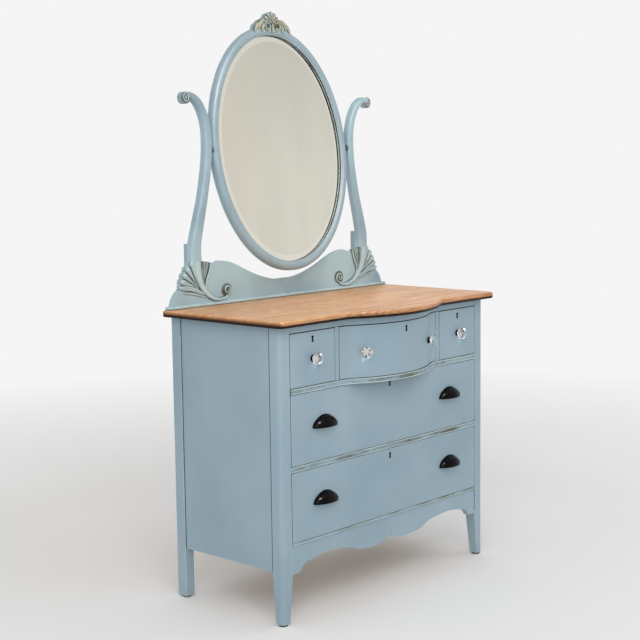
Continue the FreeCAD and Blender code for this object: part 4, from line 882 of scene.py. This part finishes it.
def rail_profile(low, high, floor, bead):
    """Two beads with a flat hollow between them, in front of a rail, and their marks."""
    back = -1
    points = arc((floor, low + bead), bead, -90, 90, 8)
    points += [(floor, low + 3 * bead), (floor, high - 3 * bead)]
    points += arc((floor, high - bead), bead, -90, 90, 8) + [(back, high), (back, low)]
    # Wax lies in the hollow and at the beads' feet; the beads are marked pale as paint wear and a painted
    # highlight.
    edge = [(1, 0)] + [(0.1, 0.8)] * 6 + [(0.6, 0.2), (1, 0)]
    return points, edge + [(0.9, 0.1)] * 2 + edge[::-1] + [(0.3, 0)] * 2


def make_rails():
    """Beaded mouldings along the rails, and the bead under the bottom drawer."""
    painted = ("root", "painted_wood", "paint_across")
    straight = [(-POST_INNER, FRONT_Y, 0), (POST_INNER, FRONT_Y, 0)]
    for node, line, floor in (("upper_rail", front_line(), 2.2), ("middle_rail", straight, 0.4)):
        low, high = (corner.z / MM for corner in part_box(node))
        moulding(node + "_beads", line, *rail_profile(low + 0.3, high - 0.3, floor, sizes().bead / MM),
                 painted)
    low, high = (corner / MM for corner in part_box("bead_moulding"))
    radius = (high.z - low.z) / 2
    lip, back = FRONT_Y / MM - low.y, FRONT_Y / MM - high.y
    turns = [math.radians(turn) for turn in range(-80, 81, 20)]
    points = [(lip * 1.25 * math.cos(turn), low.z + radius * (1 + 0.9 * math.sin(turn))) for turn in turns]
    points = [(back, low.z), (0, low.z)] + points + [(0, high.z), (back, high.z)]
    # The bead's front is marked pale on its round: paint wear and a painted highlight.
    marks = [(0.8, 0), (1, 0), (1, 0), (0.75, 0.2), (0.6, 0.35), (0.4, 0.45), (0.4, 0.45), (0.4, 0.45),
             (0.6, 0.35), (0.8, 0.2), (1, 0), (1, 0), (0.9, 0)]
    moulding("bead_under_bottom_drawer", straight, points, marks, (*painted, "bead_moulding"))


def make_top():
    """Oak top."""
    softened_copy("tabletop", "oak_top", 0.3 * MM, "root", "oak_top", "oak_boards")


def facet_knob(work, place, radius, count):
    """Rings from the collar to the face, each turned by half a petal against the one before."""
    rings = ((0.56, 6.6), (0.72, 10), (0.98, 16), (1.06, 20.2), (1.0, 24.2), (0.74, 27.4), (0.46, 28.9),
             (0.22, 29.7))
    face_out = 29.8
    rows = [row(work, oval(radius * share, radius * share, out, count, twist=0.5 * (level % 2)), place)
            for level, (share, out) in enumerate(rings)]
    for level, (first, second) in enumerate(zip(rows, rows[1:])):
        for number in range(count):
            after = (number + 1) % count
            quad = first[number], first[after], second[after], second[number]
            for corners in ((0, 2, 3), (0, 1, 2)) if level % 2 else ((0, 1, 3), (1, 2, 3)):
                work.faces.new([quad[corner] for corner in corners])
    work.faces.new(rows[0][::-1])
    cap(work, rows[-1], *row(work, [(0, 0, face_out)], place))


def foil_star(work, place):
    """Bright foil cap over the end of the collar, pressed into a star, its valleys painted dark as
    reflections of the glass facets.
    """
    wax, = layers(work, "wax")
    crown, base = 12, 9
    valleys = [False, True, True, False] * 6
    rows = []
    for radius, out, rise, dark in ((10.3, 8, 0, 0), (10.3, 10.3, 0, 1), (6, 11.6, 0.9, 0.8)):
        rim = oval(radius, radius, out, len(valleys))
        rows.append(row(work, [(x, y, height - rise * valley)
                               for (x, y, height), valley in zip(rim, valleys)], place))
        for vert, valley in zip(rows[-1], valleys):
            vert[wax] = dark * valley
    skin(work, rows, *row(work, [(0, 0, crown), (0, 0, base)], place))


def make_knobs():
    """Pressed glass knobs: petals round a flat face, on black collars, with foil behind the glass."""
    swing = math.asin(BOW_KNOB_X / CROWN_RADIUS)
    bow_y = CROWN_Y - CROWN_RADIUS * math.cos(swing)
    nodes = ("top_left_knob_glass", "top_centre_knob_glasses", "top_right_knob_glass")
    for drawer, node in zip(DRAWERS, nodes):
        low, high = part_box(node)
        spots = [((low.x + high.x) / 2, FRONT_Y, 0)]
        if drawer == "top_centre_drawer":
            spots = [(-BOW_KNOB_X, bow_y, -swing), (BOW_KNOB_X, bow_y, swing)]
        glass, foil = bmesh.new(), bmesh.new()
        for x, y, turn in spots:
            place = Matrix.Translation((x, y, (low.z + high.z) / 2)) @ Matrix.Rotation(turn, 4, "Z")
            facet_knob(glass, place @ UPRIGHT, (high.z - low.z) / 2 / MM, sizes().facets)
            foil_star(foil, place @ UPRIGHT)
        finished(node + "_cut", glass, 12, drawer, "clear_glass", "knob_glass", node)
        finished(node + "_foil", foil, 60, drawer, "steel", "bright_foil")


def make_pulls():
    """Cup pulls in satin black."""
    for drawer in ("middle_drawer", "bottom_drawer"):
        node = drawer + "_pulls"
        softened_copy(node, node + "_enamelled", 0.35 * MM, drawer, "black_iron", "black_enamel")


def make_board():
    """Harp board and the moulding under it."""
    home = ("root", "painted_wood", "waxed_paint")
    softened_copy("harp_board", "harp_board_painted", 2.0 * MM, *home)
    piece = softened_copy("base_moulding", "base_moulding_painted", 3.2 * MM, *home)
    # Painted shadow: the moulding's foot on the oak top is dark. Painted highlight: its upper part is marked
    # pale, also as paint wear.
    mark(piece, "wax", lambda spot: 1.0 * (spot.z < TOP_Z + 1 * MM))
    mark(piece, "rub_and_highlight", lambda spot: 0.8 * (spot.z > TOP_Z + 6 * MM))


def make_carvings():
    """Leaf fan, stem, lower leaf and volute at the foot of each arm."""
    relief = sizes().relief / MM
    work = bmesh.new()

    def carve(points, widths, shares, groove=0.0, first=(), last=(), **others):
        """Strip whose heights are shares of the relief, between plain heights at its ends."""
        heights = [*first, *(share * relief for share in shares), *last]
        carved_strip(work, points, widths, heights, groove, **others)

    for bend, tip in (((397, 984), (407, 1020)), ((406, 973), (426, 1003)), ((412, 961), (440, 983)),
                      ((416, 950), (450, 963))):
        carve([(380, 940), bend, tip], [2, 3.4, 5.6, 8, 10.6, 13.4, 16.2, 19, 21, 21.5],
              [0.3, 0.45, 0.6, 0.75, 0.9, 1, 1, 1, 0.95, 0.8], 0.16, foot=0.4 - BOARD_THICK, fade=0.55,
              blunt=0.16)
    carve([(326, 908), (368, 922), (412, 938), (460, 944)], [3, 9, 14, 18, 19, 17],
          [0.6, 0.9, 0.9, 0.9, 0.6], 0.2, first=[2], fade=0.3, blunt=0.2)
    carve([(322, 902), (364, 912), (404, 922), (440, 926)], [3, 6, 8, 10, 10, 8], [0.4, 0.5, 0.5, 0.4],
          first=[1.5], last=[1.5], wash=0.2, blunt=0.2)
    carve([(357, 950), (353, 982), (346, 1015)], [5, 14, 24, 32, 38], [], first=[1.6, 2, 2.2, 2.4, 2],
          foot=-8, wash=0.72)
    for bend, tip in (((356, 984), (353, 1016)), ((348, 983), (340, 1015))):
        carve([(357, 952), bend, tip], [2, 4, 5.5, 7, 6], [], first=[2, 3.4, 4.4, 5, 3.4], wash=0.45)
    carve([(328, 1012), (334, 987), (346, 960), (350, 936), (336, 916), (314, 903), (290, 900)],
          [4, 8, 8, 7, 6, 5, 3], [0.6, 0.8, 0.8, 0.7, 0.6, 0.5], last=[2], foot=-8)
    carve([(385, 1019), (383, 995), (377, 966), (362, 937), (336, 911), (304, 898), (278, 898), (260, 904)],
          [42, 38, 32, 25, 19, 14, 11, 9], [1, 1, 1, 1, 1, 0.95, 0.9, 0.8])
    boss(work, VOLUTE, 21, 1.5, 0.6, wax_mark=1)
    carve(coil(VOLUTE, -72, -1.5, 17.5, 4), [4, 8.5, 7, 6, 5, 4.4], [0.6, 0.85, 0.85, 0.9, 1, 1], wash=0.1)
    boss(work, VOLUTE, 3, 2, relief - 2, gilt=0.3)
    mirror_over(work)
    work.transform(BOARD_PLANE)
    finished("carved_leaves", work, 60, "root", "glazed_carving", "waxed_paint", "carvings")


def make_arms():
    """Arms with rounded fronts; each ends in a scroll with an eye."""
    deep, eye = ARM_DEPTH, 3.6
    work = bmesh.new()
    layers(work, "wax", "rub_and_highlight", "gilt")
    line = [(385, 1018), (384, 1068), (366, 1142), (350, 1202), (331, 1300), (325.5, 1366), (329, 1420),
            (343, 1464), (364, 1496), (390, 1512), (413, 1514)]
    widths = [44, 41, 35, 31, 29.5, 29, 27, 25, 22.5, 20, 18]
    left = [(-1, 0), (-1, 0.55), (-0.97, 0.7), (-0.88, 0.83), (-0.7, 0.92), (-0.4, 0.98), (0, 1)]
    section = left + [(-across, out) for across, out in left[-2::-1]] + [(0, 0)]
    skin(work, [row(work, [spot + side * along(widths, share) / 2 * across + Vector((0, 0, deep * out))
                           for across, out in section]) for share, spot, side in walk(line)])
    boss(work, SCROLL, SCROLL_RADIUS, deep * 0.7, deep * 0.05, foot=0.5)
    boss(work, SCROLL, SCROLL_RADIUS * 0.97, deep * 0.82, deep * 0.04, foot=deep * 0.6, wax_mark=0.7)
    carved_strip(work, coil(SCROLL, 88, -1.4, SCROLL_RADIUS - 3.4, 3), [6.8, 6.2, 5.4, 4.6],
                 [deep * 0.14] * 4, lift=deep * 0.84, foot=deep * 0.8, gilt=0.25)
    boss(work, SCROLL, eye, deep * 0.86, deep * 0.12, foot=deep * 0.8, gilt=0.4)
    mirror_over(work)
    work.transform(ARM_PLANE)
    finished("arms_shaped", work, 50, "root", "painted_wood", "waxed_upright", "arms")


def make_mirror():
    """Oval frame moulding, and looking glass with a wide bevel."""
    lip = 3.4
    profile = [(0, -3.2), (0, -0.8), (0, 3.8), (0.8, 5), (2.4, 5.4), (lip, 5.8)]
    profile += [(lip + (FRAME_WIDTH - lip) * share, out) for share, out in (
        (0.07, 7.8), (0.18, 9.6), (0.32, 10.8), (0.45, 11), (0.6, 10.3), (0.74, 8.8), (0.86, 6.4),
        (0.95, 3))]
    lap, back = 8, -16.5
    profile += [(FRAME_WIDTH, -1), (FRAME_WIDTH, -14.5), (FRAME_WIDTH - 2, back), (lap, back), (lap, -2)]
    # Wax on the inner wall is painted shade in the rebate; the lip is marked pale as paint wear and a painted
    # highlight.
    marks = [(0.8, 0), (0.8, 0), (1, 0), (0.2, 0.7), (0.2, 0.7), (0.9, 0)] + [(0.1, 0.2)] * 8 + [(0, 0)] * 5
    flat = MIRROR_PLANE.inverted()

    def inner_wall(way, spot):
        way, spot = flat.to_3x3() @ way, flat @ spot
        return (abs(way.z) < 0.3 and -0.5 * MM < spot.z < 4 * MM
                and math.hypot(spot.x / SIGHT_HALF_WIDTH, spot.y / SIGHT_HALF_HEIGHT) < 1.004)

    # The inner wall gets the dark finish: painted shade where the glass sits in the rebate.
    stain_and_shade(moulding("mirror_frame_moulded", oval(SIGHT_HALF_WIDTH, SIGHT_HALF_HEIGHT), profile, marks,
                   ("mirror", "painted_wood", "paint_upright", "mirror_frame"), True, MIRROR_PLANE, 55),
          inner_wall)
    work = bmesh.new()
    # Marks the bevel for its painted brighter reflection.
    bevel_highlight, = layers(work, "bevel")
    bevel = 27
    rings = []
    for reach, out, share in ((lap, -7, 1), (lap, -4, 1), (lap - bevel + 0.8, -2.03, 1),
                              (lap - bevel, -2, 0)):
        rings.append(row(work, oval(SIGHT_HALF_WIDTH / MM + reach, SIGHT_HALF_HEIGHT / MM + reach, out)))
        for vert in rings[-1]:
            vert[bevel_highlight] = share
    skin(work, rings)
    work.transform(MIRROR_PLANE)
    finished("looking_glass", work, 1, "mirror", "mirror_glass", "silvering", "mirror_glass")


def make_crest():
    """Shell over two scrolls with leaves down both sides, on the top of the frame."""
    count = sizes().shell_lobes
    work = bmesh.new()
    carved_strip(work, [(0, 3), (0, 14), (0, 29), (0, 41)], [1.4, 3.4, 5.4, 7.6, 9.8, 12, 14.4, 16.8, 18],
                 [3, 5, 6.5, 7.5, 8.5, 9, 9, 8.5, 7.5], 0.2, foot=-20, gilt=0.7, fade=0.2, blunt=0.2)
    spots = link("shell_spots", bpy.data.meshes.new("shell_spots"))
    spots.data.from_pydata([(0, 0, 0)] * count, [], [])
    work = grown(fan_tree(), spots, Lobe=link("shell_lobe", to_mesh("shell_lobe", work, 60)), Lobes=count,
                 Spread=sizes().shell_spread, Shrink=0.9, Finish=material_for("waxed_paint"))
    lift, inside, through, gilt = 11, 9, -9, 0.8
    work.transform(Matrix.Translation(Vector((0, 392, lift)) * MM))
    leaf = [(24, 400), (42, 402), (56, 390), (62, 371)]
    inner_leaf = [(31, 396), (40, 390), (45, 378), (46, 366)]
    outer_leaf = [(56, 396), (67, 388), (74, 376), (79, 366)]
    scroll = [(4, 396), (11, 403), (21, 404), (30, 397), (33, 386), (28, 375), (20, 373), (16, 379)]
    for side in (-1, 1):
        for line, widths, heights, foot in (
                (leaf, [7, 13, 16, 17, 15, 7], [6, 8, 9, 9, 7, 3], through),
                (inner_leaf, [5, 10, 13, 14, 12, 5], [5, 7, 8, 8, 6, 3], inside),
                (outer_leaf, [6, 11, 14, 14, 12, 6], [4, 6, 7, 7, 6, 3], through),
                (scroll, [5, 7, 8, 8.5, 8, 7.5, 7, 5], [7, 8, 9, 9, 9, 8, 7, 6], inside)):
            carved_strip(work, [(side * x, y) for x, y in line], widths, heights, 0.2, lift, foot, gilt,
                         blunt=0.12)
        boss(work, (side * 21, 378), 4.6, 12, 6, inside, gilt=gilt)
        boss(work, (side * 20, 387), 11, 12.3, 0.3, inside, wax_mark=1)
    carved_strip(work, [(0, 396), (0, 386), (0, 376), (0, 366)], [4, 7, 10, 11, 5], [6, 8, 9, 8, 3], 0.2,
                 lift, inside, gilt)
    work.transform(MIRROR_PLANE)
    home = ("mirror", "glazed_carving", "waxed_paint")
    finished("crest_carving", work, 60, *home)
    block = softened_copy("crest", "crest_block", 0.8 * MM, *home)
    back = MIRROR_PLANE.inverted()
    shoulder, narrower = 380 * MM, 0.86
    for vert in block.data.vertices:
        flat = back @ vert.co
        flat.z = min(flat.z, 12 * MM)
        if flat.y > shoulder:
            flat.x *= narrower
            flat.y = shoulder + (flat.y - shoulder) * narrower
        vert.co = MIRROR_PLANE @ flat


def make_inside():
    """Finishes of the CAD pieces that stay as they are."""
    collars = ["top_left_knob_collar", "top_centre_knob_collars", "top_right_knob_collar"]
    for finish, nodes in (
            ("bare_wood_deep", ["drawer_runners", "drawer_guides", *(drawer + "_box" for drawer in DRAWERS)]),
            ("bare_wood_across", ["back_rails", "back_panel", "mirror_backing",
                                  *(drawer + "_bottom" for drawer in DRAWERS)]),
            ("old_brass", [drawer + part for drawer in DRAWERS for part in ("_lock", "_bolt")]),
            ("steel", ["wood_screws"]), ("dark_steel", ["pivot_bushes", "mirror_pivots"]),
            # The CAD upper rail behind the beads gets the dark finish as painted shade in the gaps.
            ("glide_black", ["glides"]), ("stained_edge", ["upper_rail"]), ("black_enamel", collars)):
        for node in nodes:
            give_finish(frame["nodes"][node].data, finish)


# ---- Stage ----

def lamp(name, strength, width, place, target, mirrored=True, lights=True):
    """Square lamp turned to a target; it can be kept out of reflections, or shine only in them."""
    light = bpy.data.lights.new(name, "AREA")
    light.energy = strength
    light.size = width
    made = link(name, light)
    made.location = place
    made.rotation_euler = (Vector(target) - Vector(place)).to_track_quat("-Z", "Y").to_euler()
    made.visible_glossy = mirrored
    made.visible_diffuse = lights


def make_stage():
    """Pale floor, even room light, two large lamps, a small one and the camera."""
    scene = bpy.context.scene
    studio = scene.dresser_studio
    scene.view_settings.view_transform = "Standard"
    backdrop = (studio.backdrop, studio.backdrop, studio.backdrop, 1)
    half_floor = 14
    work = bmesh.new()
    bmesh.ops.create_grid(work, x_segments=1, y_segments=1, size=half_floor)
    floor = link("studio_floor", to_mesh("studio_floor", work, 40))
    mix = Recipe("studio_floor")
    pale = mix.blend(mix.vary(mix.noise(0.8, 2), 0, 1), linear(240, 239, 238), linear(244, 243, 242))
    floor.data.materials.append(mix.done(pale, 0.9, Specular_IOR_Level=0.1))
    away = mix.reckon("LENGTH", mix.place, kind="VectorMath")["Value"]
    glow = mix.put("ShaderNodeEmission", Color=backdrop).outputs[0]
    mix.feed(mix.end.inputs[0], mix.seen_as(mix.shader.outputs[0], glow, mix.spread(away, 1.5, 4.2)))
    scene.world = bpy.data.worlds.new("studio")
    scene.world.use_nodes = True
    net = Net(scene.world.node_tree)
    net.tree.nodes.clear()
    room = net.put("ShaderNodeBackground", Color=(1, 1, 1, 1), Strength=studio.room).outputs[0]
    seen = net.put("ShaderNodeBackground", Color=backdrop, Strength=1.0).outputs[0]
    net.put("ShaderNodeOutputWorld", Surface=net.seen_as(room, seen))
    lamp("key_lamp", studio.key, 3.4, (-3.4, -3.4, 3.0), (0, 0, 0.8))
    lamp("small_lamp", studio.spark, 0.55, (-1.2, -3.2, 4.6), (0, 0, 0.6), lights=False)
    lamp("fill_lamp", studio.fill, 3.0, (3.6, -2.6, 2.6), (0, 0, 0.8), mirrored=False)
    camera = link("camera", bpy.data.cameras.new("camera"))
    camera.data.lens = studio.lens
    camera.data.sensor_width = 36
    camera.data.clip_end = 60
    camera.matrix_world = (Matrix.Translation(studio.place) @ Matrix.Rotation(-studio.heading, 4, "Z")
                           @ UPRIGHT @ Matrix.Rotation(-studio.dip, 4, "X")
                           @ Matrix.Rotation(-studio.roll, 4, "Z"))
    scene.camera = camera


# ---- Operators, panel and registration ----

class MakeCase(bpy.types.Operator):
    """Paint the posts, panels, rails, apron and battens"""
    bl_idname = "dresser.case"
    bl_label = "Case"

    def execute(self, context):
        make_case()
        return {"FINISHED"}


class MakeFronts(bpy.types.Operator):
    """Paint the drawer fronts"""
    bl_idname = "dresser.fronts"
    bl_label = "Drawer fronts"

    def execute(self, context):
        make_fronts()
        return {"FINISHED"}


class MakeRails(bpy.types.Operator):
    """Run the beads along the rails"""
    bl_idname = "dresser.rails"
    bl_label = "Rail mouldings"

    def execute(self, context):
        make_rails()
        return {"FINISHED"}


class MakeTop(bpy.types.Operator):
    """Finish the oak top"""
    bl_idname = "dresser.top"
    bl_label = "Oak top"

    def execute(self, context):
        make_top()
        return {"FINISHED"}


class MakeKnobs(bpy.types.Operator):
    """Cut the glass knobs"""
    bl_idname = "dresser.knobs"
    bl_label = "Glass knobs"

    def execute(self, context):
        make_knobs()
        return {"FINISHED"}


class MakePulls(bpy.types.Operator):
    """Enamel the cup pulls"""
    bl_idname = "dresser.pulls"
    bl_label = "Cup pulls"

    def execute(self, context):
        make_pulls()
        return {"FINISHED"}


class MakeBoard(bpy.types.Operator):
    """Finish the harp board and its moulding"""
    bl_idname = "dresser.board"
    bl_label = "Harp board"

    def execute(self, context):
        make_board()
        return {"FINISHED"}


class MakeCarvings(bpy.types.Operator):
    """Carve the leaves and volutes"""
    bl_idname = "dresser.carvings"
    bl_label = "Carved leaves"

    def execute(self, context):
        make_carvings()
        return {"FINISHED"}


class MakeArms(bpy.types.Operator):
    """Shape the arms and their scrolls"""
    bl_idname = "dresser.arms"
    bl_label = "Arms"

    def execute(self, context):
        make_arms()
        return {"FINISHED"}


class MakeMirror(bpy.types.Operator):
    """Run the oval frame and bevel the looking glass"""
    bl_idname = "dresser.mirror"
    bl_label = "Mirror"

    def execute(self, context):
        make_mirror()
        return {"FINISHED"}


class MakeCrest(bpy.types.Operator):
    """Carve the shell crest"""
    bl_idname = "dresser.crest"
    bl_label = "Crest"

    def execute(self, context):
        make_crest()
        return {"FINISHED"}


class MakeInside(bpy.types.Operator):
    """Finish the pieces that keep their CAD shape"""
    bl_idname = "dresser.inside"
    bl_label = "Inside and fittings"

    def execute(self, context):
        make_inside()
        return {"FINISHED"}


class MakeStage(bpy.types.Operator):
    """Set up the floor, the lamps and the camera"""
    bl_idname = "dresser.stage"
    bl_label = "Stage"

    def execute(self, context):
        make_stage()
        return {"FINISHED"}


OPERATORS = (MakeCase, MakeFronts, MakeRails, MakeTop, MakeKnobs, MakePulls, MakeBoard, MakeCarvings,
             MakeArms, MakeMirror, MakeCrest, MakeInside, MakeStage)


class DresserPanel(bpy.types.Panel):
    """Lists the steps that build the dresser"""
    bl_idname = "VIEW3D_PT_dresser"
    bl_label = "Dresser"
    bl_space_type = "VIEW_3D"
    bl_region_type = "UI"
    bl_category = "Dresser"

    def draw(self, context):
        for operator in OPERATORS:
            self.layout.operator(operator.bl_idname)


GROUPS = {"dresser_finish": DresserFinish, "dresser_sizes": DresserSizes, "dresser_studio": DresserStudio}
CLASSES = (*GROUPS.values(), *OPERATORS, DresserPanel)


def register():
    for kind in CLASSES:
        bpy.utils.register_class(kind)
    for name, group in GROUPS.items():
        setattr(bpy.types.Scene, name, PointerProperty(type=group))


def unregister():
    for name in GROUPS:
        delattr(bpy.types.Scene, name)
    for kind in reversed(CLASSES):
        bpy.utils.unregister_class(kind)


def main():
    register()
    for operator in OPERATORS:
        section, name = operator.bl_idname.split(".")
        getattr(getattr(bpy.ops, section), name)()


if __name__ == "__main__":
    main()
